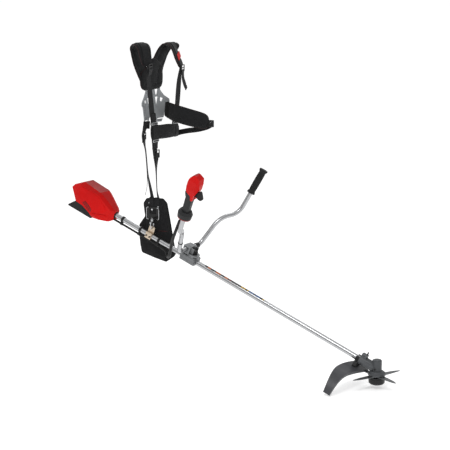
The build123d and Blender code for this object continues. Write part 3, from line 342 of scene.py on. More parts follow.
MATS["copper"] = metal("winding_copper", (0.55, 0.22, 0.09), 0.35, streak=(30, 600, 600))
MATS["board"] = plastic("circuit_board", (0.01, 0.10, 0.04), 0.35)
MATS["sleeve"] = plastic("cable_sleeve", (0.0030, 0.0030, 0.0033), 0.60, grain=700, depth=0.5)
PAD = weave("pad_nylon", (0.0042, 0.0043, 0.0049), 0.0013)
MATS["pad"] = PAD.m
MESHY = weave("pad_mesh_lining", (0.0060, 0.0062, 0.0068), 0.0026)
MATS["lining"] = MESHY.m
WEB = weave("webbing_nylon", (0.0046, 0.0048, 0.0054), 0.0021, rib=True, sheen=0.10)
MATS["web"] = WEB.m
MATS["hip"] = weave("protector_nylon", (0.0044, 0.0046, 0.0052), 0.0012, use_uv=False).m
MATS["piping"] = plastic("piping_cord", (0.022, 0.004, 0.005), 0.6, grain=900, depth=0.5)
MATS["binding"] = weave("edge_binding", (0.0044, 0.0046, 0.0050), 0.0014, use_uv=False).m
MATS["loop_pile"] = weave("loop_pile", (0.0014, 0.0014, 0.0016), 0.0016, sheen=0.03).m
MATS["thread"] = plastic("sewing_thread", (0.018, 0.0185, 0.020), 0.6, grain=1500)
MATS["red_thread"] = plastic("red_thread", (0.16, 0.010, 0.012), 0.6, grain=1500)
MATS["patch"] = plastic("red_patch", (0.52, 0.009, 0.009), 0.5, grain=1200, depth=0.5)
MATS["plug"] = plastic("pale_plug", (0.62, 0.63, 0.64), 0.5)


def label_strip():
    """Black sleeve with a printed strip of plain coloured fields along the tube, no lettering."""
    m = Mat("tube_label_strip", (0.0055, 0.0055, 0.006), 0.38, **{"Coat Weight": 0.15, "Coat Roughness": 0.3})
    sub = m.n.new("ShaderNodeVectorMath")
    sub.operation = "SUBTRACT"
    m.l.new(m.coord(), sub.inputs[0])
    sub.inputs[1].default_value = at(978.0)
    dot = m.n.new("ShaderNodeVectorMath")
    dot.operation = "DOT_PRODUCT"
    m.l.new(sub.outputs[0], dot.inputs[0])
    dot.inputs[1].default_value = tuple(FWD)
    f = m.math("DIVIDE", dot.outputs["Value"], 0.346)
    K, O, R = (0.0055, 0.0055, 0.006), (0.50, 0.115, 0.012), (0.16, 0.012, 0.012)
    Y, B = (0.58, 0.36, 0.02), (0.02, 0.09, 0.24)
    stops = [(0.0, K), (0.045, O), (0.10, K), (0.18, O), (0.265, K), (0.335, O), (0.39, K), (0.41, R), (0.445, K),
             (0.615, Y), (0.645, K), (0.66, Y), (0.69, K), (0.72, Y), (0.745, B), (0.83, K), (0.85, B),
             (0.935, K), (0.98, Y)]
    col = m.ramp(f, stops, "CONSTANT")
    m.set_color(m.mix(m.math("MULTIPLY", m.noise(60, 4), 0.25), col, (0.012, 0.012, 0.013)))
    m.set_rough(m.noise(30, 4), 0.32, 0.48)
    m.bump(m.noise(900, 2), 0.12, 0.0001)
    return m.m


MATS["label"] = label_strip()

LOOK = {
    "back_plate": "grey", "main_tube": "tube", "housing_left": "red", "housing_right": "red",
    "battery_bay": "black", "battery_foot": "black", "control_board": "board",
    "motor_stator": "copper", "motor_rotor": "steel", "shaft_coupling": "steel",
    "housing_screws": "black_steel", "drive_shaft": "steel", "shaft_bushes": "black",
    "ball_bearings": "steel", "handlebar_clamp_base": "cast", "handlebar_clamp_cap": "cast",
    "clamp_knob": "black", "clamp_screws": "black_steel", "hanger_bracket": "zinc",
    "tube_band": "label", "cable_clips": "black", "cable_loom": "sleeve", "cable_loop": "sleeve",
    "guard_bracket": "dark_grey", "blade_guard": "guard", "gear_housing": "gearbox",
    "spindle_skirt": "gearbox", "pinion_gear": "steel", "bevel_gear": "steel",
    "blade_spindle": "steel", "clamp_washers": "steel", "brush_blade": "blade",
    "glide_cup": "black_steel", "blade_nut": "steel", "handlebar_tube": "bar",
    "left_grip": "rubber", "grip_shell_inner": "dark_grey", "grip_shell_outer": "dark_grey",
    "handle_cap": "red", "handle_collar": "dark_grey", "collar_ring": "red_dark",
    "handle_pins": "steel", "trigger_switch": "black", "throttle_trigger": "black",
    "lockoff_lever": "black", "yoke_pad": "pad", "shoulder_pad_left": "pad",
    "shoulder_pad_right": "pad", "waist_belt": "pad", "front_pad": "pad",
    "hip_protector": "hip", "shoulder_webbing": "web", "suspension_webbing": "web",
    "strap_hardware": "black", "belt_buckle": "black", "hook_frame": "black_steel",
    "snap_hook": "steel", "hook_gate": "steel",
}
BEVEL = {
    "back_plate": 1.2, "housing_left": 2.2, "housing_right": 2.2, "battery_foot": 1.6,
    "battery_bay": 0.6, "handlebar_clamp_base": 1.4, "handlebar_clamp_cap": 1.6, "clamp_knob": 1.2,
    "hanger_bracket": 0.6, "cable_clips": 0.8, "tube_band": 0.6, "guard_bracket": 1.2,
    "blade_guard": 0.9, "gear_housing": 1.2, "spindle_skirt": 1.2, "clamp_washers": 0.5,
    "brush_blade": 0.5, "glide_cup": 1.2, "blade_nut": 0.5, "left_grip": 1.0,
    "grip_shell_inner": 1.0, "grip_shell_outer": 1.0, "handle_cap": 3.0, "handle_collar": 2.0,
    "collar_ring": 0.6, "throttle_trigger": 0.7, "lockoff_lever": 0.7, "strap_hardware": 0.9,
    "belt_buckle": 1.4, "hook_frame": 0.5, "snap_hook": 0.4, "hook_gate": 0.5,
    "clamp_screws": 0.3, "housing_screws": 0.25, "motor_stator": 0.4, "control_board": 0.2,
    "ball_bearings": 0.3, "pinion_gear": 0.2, "bevel_gear": 0.2, "shaft_coupling": 0.4,
}


def finish_surface(o, look, bevel=None, angle=32):
    me = o.data
    me.materials.clear()
    me.materials.append(MATS[look])
    me.polygons.foreach_set("use_smooth", [True] * len(me.polygons))
    me.set_sharp_from_angle(angle=math.radians(angle))
    if bevel:
        b = o.modifiers.new("edge", "BEVEL")
        b.width = bevel / 1000
        b.segments = 3
        b.limit_method = "ANGLE"
        b.angle_limit = math.radians(30)
        b.harden_normals = True
        b.use_clamp_overlap = True


for name, o in NODES.items():
    finish_surface(o, LOOK[name], BEVEL.get(name))

#==HELPERS==
# ---------------------------------------------------------------------------
# mesh helpers (millimetres in, metres in the mesh)
# ---------------------------------------------------------------------------
rng = np.random.default_rng(7)


def add_mesh(name, verts, faces, look, body=None, uv=None, smooth=True, angle=40):
    me = bpy.data.meshes.new(name)
    me.from_pydata([tuple(float(c) / 1000 for c in v) for v in verts], [], [tuple(f) for f in faces])
    me.validate()
    if uv is not None:
        layer = me.uv_layers.new(name="UVMap")
        idx = np.empty(len(me.loops), np.int32)
        me.loops.foreach_get("vertex_index", idx)
        layer.data.foreach_set("uv", (np.asarray(uv, float)[idx] / 1000).astype(np.float32).ravel())
    o = bpy.data.objects.new(name, me)
    bpy.context.scene.collection.objects.link(o)
    me.materials.append(MATS[look])
    bm = bmesh.new()
    bm.from_mesh(me)
    bmesh.ops.recalc_face_normals(bm, faces=bm.faces)
    bm.to_mesh(me)
    bm.free()
    if smooth:
        me.polygons.foreach_set("use_smooth", [True] * len(me.polygons))
        me.set_sharp_from_angle(angle=math.radians(angle))
    if body:
        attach(o, body)
    return o


def unit(v):
    v = np.asarray(v, float)
    return v / max(np.linalg.norm(v), 1e-9)


def catmull(P, t):
    """Rows of P interpolated smoothly; t from 0 to len(P)-1."""
    P = np.asarray(P, float)
    n = len(P)
    i = int(min(max(math.floor(t), 0), n - 2))
    u = t - i
    p1, p2 = P[i], P[i + 1]
    p0 = P[i - 1] if i > 0 else 2 * p1 - p2
    p3 = P[i + 2] if i + 2 < n else 2 * p2 - p1
    return 0.5 * ((2 * p1) + (-p0 + p2) * u + (2 * p0 - 5 * p1 + 4 * p2 - p3) * u * u
                  + (-p0 + 3 * p1 - 3 * p2 + p3) * u ** 3)


class Band:
    """A strap or pad that follows stations (point, width direction, width); N is its outer side."""

    def __init__(self, stations, outer, step=5.0):
        rows = np.array([[*p, *unit(w), wd] for p, w, wd in stations], float)
        fine = np.array([catmull(rows, t) for t in np.linspace(0, len(rows) - 1, 40 * len(rows))])
        seg = np.linalg.norm(np.diff(fine[:, :3], axis=0), axis=1)
        s = np.concatenate([[0], np.cumsum(seg)])
        self.length = s[-1]
        n = max(8, int(self.length / step))
        self.s = np.linspace(0, self.length, n + 1)
        R = np.array([[np.interp(q, s, fine[:, k]) for k in range(7)] for q in self.s])
        self.P, self.hw = R[:, :3], R[:, 6] / 2
        self.T = np.gradient(self.P, axis=0)
        self.T /= np.linalg.norm(self.T, axis=1)[:, None]
        W = R[:, 3:6]
        W = W - (W * self.T).sum(1)[:, None] * self.T
        self.W = W / np.linalg.norm(W, axis=1)[:, None]
        self.N = np.cross(self.W, self.T)
        ref = np.asarray(outer, float)
        mid = len(self.s) // 2
        if (self.N[mid] * ref).sum() < 0:
            self.N = -self.N

    def at(self, s, a=0.0, b=0.0):
        """Point at s along, a mm across, b mm out."""
        g = lambda A: np.array([np.interp(s, self.s, A[:, k]) for k in range(3)])
        return g(self.P) + unit(g(self.W)) * a + unit(g(self.N)) * b

    def frame(self, s):
        g = lambda A: np.array([np.interp(s, self.s, A[:, k]) for k in range(3)])
        return g(self.P), unit(g(self.T)), unit(g(self.W)), unit(g(self.N))

    def half(self, s):
        return float(np.interp(s, self.s, self.hw))


def end_round(s, L, r):
    """How much narrower a band's half width is near its rounded ends."""
    out = 0.0
    for d in (s, L - s):
        if d < r:
            out = max(out, r - math.sqrt(max(0.0, r * r - (r - d) ** 2)))
    return out


def padded_band(name, band, thick, look, body, channels=(), round_r=16, lining=None, crown=0.55,
                seam=3.2, puff=None, wave=0.0):
    """A stuffed pad: two crowned faces that meet in an edge seam, with sewn channels along it."""
    na = 18
    aa = np.linspace(-1, 1, na + 1)
    aa = np.sign(aa) * np.abs(aa) ** 0.8
    V, UVs, pins, outer_flag = [], [], [], []
    rows = len(band.s)
    for side in (1, -1):
        for i, s in enumerate(band.s):
            hw = band.half(s) - end_round(s, band.length, round_r)
            hw = max(hw, 4.0)
            e = min(1.0, min(s, band.length - s) / 14.0)
            endf = math.sqrt(max(0.0, 1 - (1 - e) ** 2))
            for a in aa:
                k = (1 - abs(a) ** 3.2) ** crown if abs(a) < 1 else 0.0
                h = seam / 2 + (thick - seam) / 2 * k * endf
                for c in channels:
                    h -= (thick * 0.20) * math.exp(-((a * band.half(s) - c) / 2.6) ** 2) * endf
                h += wave * endf * k * math.sin(s / 9.0 + a * 2.0) * (0.6 if side > 0 else 0.4)
                V.append(band.at(s, a * hw, side * max(h, seam / 2)))
                UVs.append((a * hw, s))
                pin = 1.0 if abs(a) > 0.93 or min(s, band.length - s) < 4 else 0.0
                for c in channels:
                    if abs(a * band.half(s) - c) < 3.4:
                        pin = 1.0
                pins.append(pin)
                outer_flag.append(side)
    w = na + 1
    F, M = [], []
    for side in (0, 1):
        o0 = side * rows * w
        for i in range(rows - 1):
            for j in range(na):
                F.append((o0 + i * w + j, o0 + i * w + j + 1, o0 + (i + 1) * w + j + 1, o0 + (i + 1) * w + j))
                M.append(side)
    off = rows * w
    for i in range(rows - 1):
        for j in (0, na):
            F.append((i * w + j, (i + 1) * w + j, off + (i + 1) * w + j, off + i * w + j))
            M.append(0)
    for i in (0, rows - 1):
        for j in range(na):
            F.append((i * w + j, i * w + j + 1, off + i * w + j + 1, off + i * w + j))
            M.append(0)
    o = add_mesh(name, V, F, look, body, uv=UVs)
    if lining:
        o.data.materials.append(MATS[lining])
        if len(o.data.polygons) == len(M):
            o.data.polygons.foreach_set("material_index", M)
    if puff:
        inflate(o, pins, *puff)
    return o


def inflate(o, pins, pressure, cap_mm, frames=16):
    """Swells a pad with a pinned cloth simulation and keeps the result as plain mesh."""
    me = o.data
    if len(pins) != len(me.vertices):
        return
    start = np.empty(len(me.vertices) * 3, np.float32)
    me.vertices.foreach_get("co", start)
    start = start.reshape(-1, 3)
    g = o.vertex_groups.new(name="seams")
    for i, p in enumerate(pins):
        if p > 0:
            g.add([i], p, "REPLACE")
    c = o.modifiers.new("puff", "CLOTH")
    st = c.settings
    st.quality = 4
    st.mass = 0.25
    st.tension_stiffness = 12
    st.compression_stiffness = 8
    st.shear_stiffness = 4
    st.bending_stiffness = 0.6
    st.use_pressure = True
    st.uniform_pressure_force = pressure
    st.vertex_group_mass = "seams"
    st.effector_weights.gravity = 0
    c.collision_settings.use_collision = False
    sc = bpy.context.scene
    c.point_cache.frame_start, c.point_cache.frame_end = 1, frames
    for f in range(1, frames + 1):
        sc.frame_set(f)
    dg = bpy.context.evaluated_depsgraph_get()
    ev = o.evaluated_get(dg).to_mesh()
    end = np.empty(len(ev.vertices) * 3, np.float32)
    ev.vertices.foreach_get("co", end)
    end = end.reshape(-1, 3)
    d = end - start
    ln = np.linalg.norm(d, axis=1)
    lim = np.minimum(1.0, (cap_mm / 1000) / np.maximum(ln, 1e-9))
    out = start + d * lim[:, None]
    o.modifiers.remove(c)
    me.vertices.foreach_set("co", out.astype(np.float32).ravel())
    me.update()
    sc.frame_set(1)


def strap(name, band, thick, look, body, wobble=0.0):
    """Flat webbing with slightly rounded selvedges."""
    prof = [(-1, -0.25), (-0.985, -0.5), (-0.5, -0.5), (0, -0.5), (0.5, -0.5), (0.985, -0.5),
            (1, -0.25), (1, 0.25), (0.985, 0.5), (0.5, 0.5), (0, 0.5), (-0.5, 0.5), (-0.985, 0.5),
            (-1, 0.25)]
    V, U = [], []
    for i, s in enumerate(band.s):
        hw = band.hw[i]
        for a, b in prof:
            w = wobble * math.sin(s / 23.0 + a * 1.3)
            V.append(band.P[i] + band.W[i] * a * hw + band.N[i] * (b * thick + w))
            U.append((a * hw, s))
    k = len(prof)
    F = []
    for i in range(len(band.s) - 1):
        for j in range(k):
            F.append((i * k + j, i * k + (j + 1) % k, (i + 1) * k + (j + 1) % k, (i + 1) * k + j))
    F.append(tuple(range(k)))
    F.append(tuple((len(band.s) - 1) * k + j for j in range(k)))
    return add_mesh(name, V, F, look, body, uv=U)


def tube_mesh(name, pts, r, look, body, closed=False, sides=10, ends=True):
    """Round cord along points."""
    P = np.asarray(pts, float)
    n = len(P)
    T = np.gradient(P, axis=0)
    if closed:
        T = np.roll(P, -1, 0) - np.roll(P, 1, 0)
    T /= np.linalg.norm(T, axis=1)[:, None]
    ref = np.array([0, 0, 1.0]) if abs(T[0][2]) < 0.9 else np.array([1.0, 0, 0])
    N = unit(np.cross(T[0], ref))
    V, U = [], []
    s = 0
    for i in range(n):
        N = unit(N - (N @ T[i]) * T[i])
        B = np.cross(T[i], N)
        if i:
            s += np.linalg.norm(P[i] - P[i - 1])
        rr = r
        if ends and not closed and i in (0, n - 1):
            rr = r * 0.55
        for j in range(sides):
            q = 2 * math.pi * j / sides
            V.append(P[i] + (N * math.cos(q) + B * math.sin(q)) * rr)
            U.append((q * r, s))
    F = []
    last = n if closed else n - 1
    for i in range(last):
        i2 = (i + 1) % n
        for j in range(sides):
            j2 = (j + 1) % sides
            F.append((i * sides + j, i * sides + j2, i2 * sides + j2, i2 * sides + j))
    if not closed:
        F.append(tuple(range(sides)))
        F.append(tuple((n - 1) * sides + j for j in range(sides)))
    return add_mesh(name, V, F, look, body, uv=U)


class Stitches:
    """Collects short thread stitches and makes them one mesh."""

    def __init__(self):
        self.V, self.F = [], []

    def line(self, pts, normals, pitch=3.4, length=2.3, width=0.55, height=0.35):
        P = np.asarray(pts, float)
        Nn = np.asarray(normals, float)
        seg = np.linalg.norm(np.diff(P, axis=0), axis=1)
        s = np.concatenate([[0], np.cumsum(seg)])
        q = pitch / 2
        while q < s[-1] - length / 2:
            p = np.array([np.interp(q, s, P[:, k]) for k in range(3)])
            p2 = np.array([np.interp(q + 0.5, s, P[:, k]) for k in range(3)])
            nn = unit([np.interp(q, s, Nn[:, k]) for k in range(3)])
            t = unit(p2 - p)
            w = unit(np.cross(nn, t))
            nn = np.cross(t, w)
            b = len(self.V)
            for x, y, z in ((-1, -1, -0.6), (-1, 1, -0.6), (1, 1, -0.6), (1, -1, -0.6),
                            (-0.6, -0.7, 1), (-0.6, 0.7, 1), (0.6, 0.7, 1), (0.6, -0.7, 1)):
                self.V.append(p + t * x * length / 2 + w * y * width / 2 + nn * z * height)
            self.F += [(b, b + 1, b + 2, b + 3), (b + 4, b + 7, b + 6, b + 5), (b, b + 4, b + 5, b + 1),
                       (b + 1, b + 5, b + 6, b + 2), (b + 2, b + 6, b + 7, b + 3), (b + 3, b + 7, b + 4, b)]
            q += pitch

    def on_band(self, band, a, b, s0=None, s1=None, **kw):
        s0 = 0 if s0 is None else s0
        s1 = band.length if s1 is None else s1
        ss = np.linspace(s0, s1, max(3, int((s1 - s0) / 3)))
        fa = a if callable(a) else (lambda s: a)
        fb = b if callable(b) else (lambda s: b)
        pts = [band.at(s, fa(s), fb(s)) for s in ss]
        sign = 1 if fb(ss[0]) >= 0 else -1
        nrm = [band.frame(s)[3] * sign for s in ss]
        self.line(pts, nrm, **kw)

    def box_x(self, band, s, length, width, b):
        """A sewn box with a cross, as on a webbing end."""
        c = [(-width / 2, s), (width / 2, s), (width / 2, s + length), (-width / 2, s + length)]
        path = [(c[0], c[1]), (c[1], c[2]), (c[2], c[3]), (c[3], c[0]), (c[0], c[2]), (c[1], c[3])]
        for p, q in path:
            pts, nrm = [], []
            for k in np.linspace(0, 1, 8):
                a_, s_ = p[0] + (q[0] - p[0]) * k, p[1] + (q[1] - p[1]) * k
                pts.append(band.at(s_, a_, b))
                nrm.append(band.frame(s_)[3] * (1 if b >= 0 else -1))
            self.line(pts, nrm, pitch=2.9, length=2.0)

    def build(self, name, look, body):
        if self.V:
            return add_mesh(name, self.V, self.F, look, body, smooth=False)


def chaikin(pts, times=2, closed=True):
    P = [np.asarray(p, float) for p in pts]
    for _ in range(times):
        Q = []
        n = len(P)
        for i in range(n if closed else n - 1):
            a, b = P[i], P[(i + 1) % n]
            Q += [a * 0.78 + b * 0.22, a * 0.22 + b * 0.78]
        if not closed:
            Q = [P[0]] + Q + [P[-1]]
        P = Q
    return np.array(P)


def resample(P, n, closed=True):
    P = np.asarray(P, float)
    if closed:
        P = np.vstack([P, P[:1]])
    s = np.concatenate([[0], np.cumsum(np.linalg.norm(np.diff(P, axis=0), axis=1))])
    q = np.linspace(0, s[-1], n + (1 if closed else 0))[: n]
    return np.column_stack([np.interp(q, s, P[:, k]) for k in range(P.shape[1])])


def seg_dist(p, a, b):
    ab = b - a
    t = np.clip(((p - a) @ ab) / max(ab @ ab, 1e-9), 0, 1)
    return np.linalg.norm(p - a - t * ab)


def panel(name, outline, centre, place, thick, look, body, edge=9.0, seams=(), seam_depth=1.6,
          spokes=150, rings=16, lining=None, puff=None, floor=1.5, seam_w=2.2):
    """A stuffed or laminated panel from its outline. place(u, v) gives (point, outward normal)."""
    O = resample(chaikin(outline, 2), spokes)
    c = np.asarray(centre, float)
    rr = 1 - (1 - np.linspace(0, 1, rings + 1)[1:]) ** 1.6
    V, U, pins = [], [], []
    for side in (1, -1):
        P, Nn = place(*c)
        V.append(P + Nn * side * thick / 2)
        U.append(tuple(c))
        pins.append(0.0)
        for r in rr:
            for o in O:
                p = c + (o - c) * r
                d = (1 - r) * np.linalg.norm(o - c) * 0.92
                k = min(1.0, d / edge)
                h = floor / 2 + (thick - floor) / 2 * math.sqrt(max(0.0, 1 - (1 - k) ** 2))
                pin = 1.0 if r > 0.985 else 0.0
                for sm in seams:
                    sm = np.asarray(sm, float)
                    ds = min(seg_dist(p, sm[i], sm[i + 1]) for i in range(len(sm) - 1))
                    h -= seam_depth * math.exp(-(ds / seam_w) ** 2) * min(1, k * 1.5)
                    if ds < 3.0:
                        pin = 1.0
                P, Nn = place(*p)
                V.append(P + Nn * side * max(h, floor / 2))
                U.append(tuple(p))
                pins.append(pin)
    n1 = 1 + rings * spokes
    F, M = [], []
    for side in (0, 1):
        b = side * n1
        for j in range(spokes):
            F.append((b, b + 1 + j, b + 1 + (j + 1) % spokes))
            M.append(side)
        for i in range(rings - 1):
            for j in range(spokes):
                j2 = (j + 1) % spokes
                F.append((b + 1 + i * spokes + j, b + 1 + (i + 1) * spokes + j,
                          b + 1 + (i + 1) * spokes + j2, b + 1 + i * spokes + j2))
                M.append(side)
    e = 1 + (rings - 1) * spokes
    for j in range(spokes):
        j2 = (j + 1) % spokes
        F.append((e + j, e + j2, n1 + e + j2, n1 + e + j))
        M.append(0)
    o = add_mesh(name, V, F, look, body, uv=U)
    if lining:
        o.data.materials.append(MATS[lining])
        if len(o.data.polygons) == len(M):
            o.data.polygons.foreach_set("material_index", M)
    if puff:
        inflate(o, pins, *puff)
    return o, O

def corners(outline, r):
    """Extra points beside each corner, so that only the last r millimetres are rounded."""
    out = []
    n = len(outline)
    P = [np.asarray(p, float) for p in outline]
    for i in range(n):
        a, b, c = P[i - 1], P[i], P[(i + 1) % n]
        d1, d2 = np.linalg.norm(a - b), np.linalg.norm(c - b)
        out += [b + (a - b) / d1 * min(r, d1 * 0.45), b, b + (c - b) / d2 * min(r, d2 * 0.45)]
    return out


#==HELPERS END==

#==PIECES==
# ---------------------------------------------------------------------------
# harness: padded parts
# ---------------------------------------------------------------------------
thread, red_thread, thread_bar = Stitches(), Stitches(), Stitches()
WEB_W, WEB_T = 40.0, 2.4


def edge_cord(name, band, k, r, look, body, inset=0.2, b=0.0, s0=None, s1=None, round_r=16):
    """Piping along one edge of a band, following its rounded ends."""
    s0 = 4 if s0 is None else s0
    s1 = band.length - 4 if s1 is None else s1
    pts = []
    for s in np.linspace(s0, s1, max(8, int((s1 - s0) / 5))):
        hw = band.half(s) - end_round(s, band.length, round_r)
        pts.append(band.at(s, k * (max(hw, 4) + inset), b))
    return tube_mesh(name, pts, r, look, body)


def fold(name, centre, wdir, to_strap, width, length, body, look="web", r=3.1, lay=2.5, t=2.1,
         box=True, normal_out=None):
    """Webbing wrapped round a bar and sewn back on itself, both layers lying on the strap."""
    C, W, D = np.asarray(centre, float), unit(wdir), unit(to_strap)
    N = unit(np.cross(W, D))
    if normal_out is not None and N @ np.asarray(normal_out, float) < 0:
        N = -N
    q = r + t / 2
    st = []
    for f in (1.0, 0.75, 0.5, 0.3):
        st.append(C + D * (q + (length - q) * f) + N * lay)
    st.append(C + D * (q * 1.25) + N * (q * 0.8))
    for ang in (60, 90, 120, 150, 180, 210, 240, 270, 300):
        a = math.radians(ang - 90)
        # half turn round the bar, from the outer layer to the inner one
        st.append(C - D * math.sin(a) * q * 0.999 + N * math.cos(a) * q)
    st.append(C + D * (q * 1.25) - N * (q * 0.8))
    for f in (0.3, 0.5, 0.75, 1.0):
        st.append(C + D * (q + (length - q) * f) - N * lay)
    band = Band([(p, W, width) for p in st], N, step=1.6)
    # keep the outside of the loop outside: N of the first layer
    o = strap(name, band, t, look, body)
    if box:
        outer = Band([(C + D * (q + (length - q) * f) + N * (lay + t / 2 + 0.1), W, width)
                      for f in (0.25, 0.6, 0.98)], N, step=3)
        thread.box_x(outer, outer.length * 0.12, outer.length * 0.78, width - 7, 0.1)
    return o


# --- shoulder pads ------------------------------------------------------------
PAD_LEFT = [((2, 40, 172), (0, 0.86, -0.5), 104), ((-7, 74, 205), (0, 0.78, -0.62), 96),
            ((-12, 108, 236), (0, 0.68, -0.73), 88), ((-10, 134, 262), (-0.1, 0.76, -0.62), 82),
            ((0, 142, 280), (0.0, 0.94, -0.3), 78), ((22, 132, 288), (0.1, 0.98, 0), 76),
            ((50, 112, 283), (-0.1, 0.98, 0), 76), ((66, 106, 258), (-0.28, 0.96, 0), 76),
            ((71, 118, 226), (-0.28, 0.96, 0), 70), ((75, 133, 194), (-0.28, 0.96, 0), 58),
            ((77, 140, 176), (-0.28, 0.96, 0), 50)]
PAD_RIGHT = [((3, -58, 128), (0, -0.88, -0.47), 88), ((-7, -82, 176), (0, -0.92, -0.38), 84),
             ((-13, -102, 218), (0, -0.97, -0.22), 80), ((-14, -113, 254), (0, -1, 0), 80),
             ((-6, -122, 284), (-0.1, -0.99, 0), 80), ((16, -136, 300), (-0.22, -0.97, 0), 80),
             ((44, -152, 300), (-0.28, -0.96, 0), 78), ((63, -160, 284), (-0.28, -0.96, 0), 76),
             ((71, -161, 254), (-0.28, -0.96, 0), 70), ((74, -156, 226), (-0.28, -0.96, 0), 62),
             ((76, -150, 206), (-0.28, -0.96, 0), 52)]
for side, rows in (("left", PAD_LEFT), ("right", PAD_RIGHT)):
    band = Band(rows, (0, 0, 1), step=5)
    pad = padded_band("shoulder_pad_" + side + "_soft", band, 14, "pad", "harness",
                      channels=(-25, 25), round_r=18, lining="lining", crown=0.5, seam=3.4,
                      puff=(9, 2.2))
    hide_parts("shoulder_pad_" + side)
    for k in (-1, 1):
        edge_cord("piping_%s_%s" % (side, "a" if k < 0 else "b"), band, k, 1.7, "piping", "harness",
                  round_r=18)
        thread.on_band(band, lambda s, k=k, band=band: k * (band.half(s) - 6.0 - end_round(s, band.length, 18)),
                       lambda s: 4.6, 20, band.length - 20)
    # webbing sewn along the middle of the pad, from the top of the shoulder to the adjuster
    L = band.length
    ss = np.linspace(L * 0.30, L - 1, 26)
    top = Band([(band.at(s, 0, 8.1 + 0.5 * math.sin(s / 14.0)), band.frame(s)[2], WEB_W) for s in ss],
               band.frame(L * 0.6)[3], step=4)
    strap("pad_webbing_" + side, top, 1.9, "web", "harness")
    for k in (-1, 1):
        thread.on_band(top, k * (WEB_W / 2 - 3.2), 1.0, 6, top.length - 6)
    thread.box_x(top, 6, 34, WEB_W - 7, 1.0)
    # bar tacks across the webbing
    for f in (0.42, 0.7):
        s = top.length * f
        pts = [top.at(s, a, 1.0) for a in np.linspace(-17, 17, 9)]
        thread_bar.line(pts, [top.frame(s)[3]] * 9, pitch=1.5, length=1.2, width=1.8, height=0.6)
    # keeper of the adjuster: a short wide patch at the pad's end
    end = Band([(band.at(s, 0, 8.9), band.frame(s)[2], WEB_W + 5) for s in np.linspace(L - 30, L - 3, 5)],
               band.frame(L - 10)[3], step=3)
    strap("pad_keeper_" + side, end, 1.6, "web", "harness")
    thread.box_x(end, 3, end.length - 7, WEB_W - 4, 0.9)

# plain red patch on the front of the left pad
bl = Band(PAD_LEFT, (0, 0, 1), step=5)
best = min(np.linspace(bl.length * 0.5, bl.length, 200),
           key=lambda s: np.linalg.norm(bl.at(s) - np.array((70, 116, 229))))
pb = Band([(bl.at(s, 6, 10.1), bl.frame(s)[2], 52) for s in np.linspace(best - 16, best + 16, 7)],
          bl.frame(best)[3], step=3)
patch = strap("pad_patch", pb, 1.3, "patch", "harness")
for k in (-1, 1):
    red_thread.on_band(pb, k * 24, 0.7, 2, pb.length - 2)

# --- upper back pad -----------------------------------------------------------
PLATE_R = 330.0


def round_back(off):
    def place(u, v):
        r = PLATE_R - off
        x = PLATE_R - math.sqrt(max(r * r - u * u, 1.0))
        return np.array((x, u, v)), np.array(((x - PLATE_R) / r, u / r, 0.0))
    return place


def back_place(off):
    def place(u, v):
        return np.array((1.0 + off, u, v)), np.array((-1.0, 0, 0))
    return place


YOKE_R = [(0, 74), (-66, 74), (-88, 82), (-99, 100), (-101, 130), (-96, 162), (-60, 176), (-26, 196), (4, 224)]
YOKE_L = [(30, 222), (56, 204), (84, 186), (88, 140), (86, 104), (76, 84), (58, 74)]
yoke_out = corners(YOKE_R + YOKE_L, 14)
yoke, YO = panel("upper_back_pad", yoke_out, (0, 130), back_place(0), 19.5, "pad", "harness",
                 edge=12, seams=([(-101, 108), (-40, 99), (40, 99), (88, 108)],
                                 [(-36, 99), (-40, 150), (-60, 182)], [(32, 99), (36, 150), (60, 196)]),
                 seam_depth=2.4, spokes=190, rings=22, lining="lining", floor=4.4, puff=(9, 2.0))
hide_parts("yoke_pad")
yp = resample(YO, 150)
tube_mesh("upper_back_piping", [back_place(0)(*p)[0] for p in (yp + (yp - np.array((0, 130))) * 0.004)],
          1.8, "piping", "harness", closed=True)
for off, inset in ((-1.0, 0.90), (1.0, 0.90)):
    P = [back_place(off * 8.2)(*(np.array((0, 130)) + (p - np.array((0, 130))) * inset)) for p in yp]
    P.append(P[0])
    thread.line([q[0] for q in P], [q[1] * (1 if off < 0 else -1) for q in P])
# stitched diamond on the lining, where the strap for the rear ends is sewn down
dia = [(40, 118), (58, 134), (52, 156), (34, 140)]
dp = [np.array((11.2, a, b)) for a, b in dia]
for k in range(4):
    thread.line([dp[k] + (dp[(k + 1) % 4] - dp[k]) * f for f in np.linspace(0, 1, 6)], [np.array((1.0, 0, 0))] * 6)
# webbing loop sewn to the pad for hanging it up
hang = Band([((-8.6 - b, 0, z), (0, 1, 0), 24)
             for z, b in ((160, 0.4), (174, 1), (188, 6), (198, 9), (188, 12), (176, 10))], (-1, 0, 0), step=3)
strap("back_hang_loop", hang, 1.8, "web", "harness")

# --- waist belt ---------------------------------------------------------------
BELT = [((23, 88, -28), 76), ((48, 73, -34), 80), ((84, 60, -42), 82), ((112, 58, -48), 83),
        ((182, 57, -61), 82), ((250, 55, -71), 76), ((278, 53, -77), 66), ((293, 52, -80), 44)]
wb = Band([(p, (0, 0, 1), h) for p, h in BELT], (0, 1, 0), step=5)
belt = padded_band("waist_pad", wb, 15, "pad", "harness", channels=(), round_r=13, lining="lining",
                   crown=0.42, seam=3.6, puff=(7, 1.8))
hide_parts("waist_belt")
for k in (-1, 1):
    edge_cord("belt_piping_" + ("a" if k < 0 else "b"), wb, k, 1.6, "piping", "harness", s0=42,
              s1=wb.length - 3, round_r=13)
    for b in (-5.6, 5.6):
        thread.on_band(wb, lambda s, k=k: k * (wb.half(s) - 6.5 - end_round(s, wb.length, 13)),
                       lambda s, b=b: b, 12, wb.length - 14)
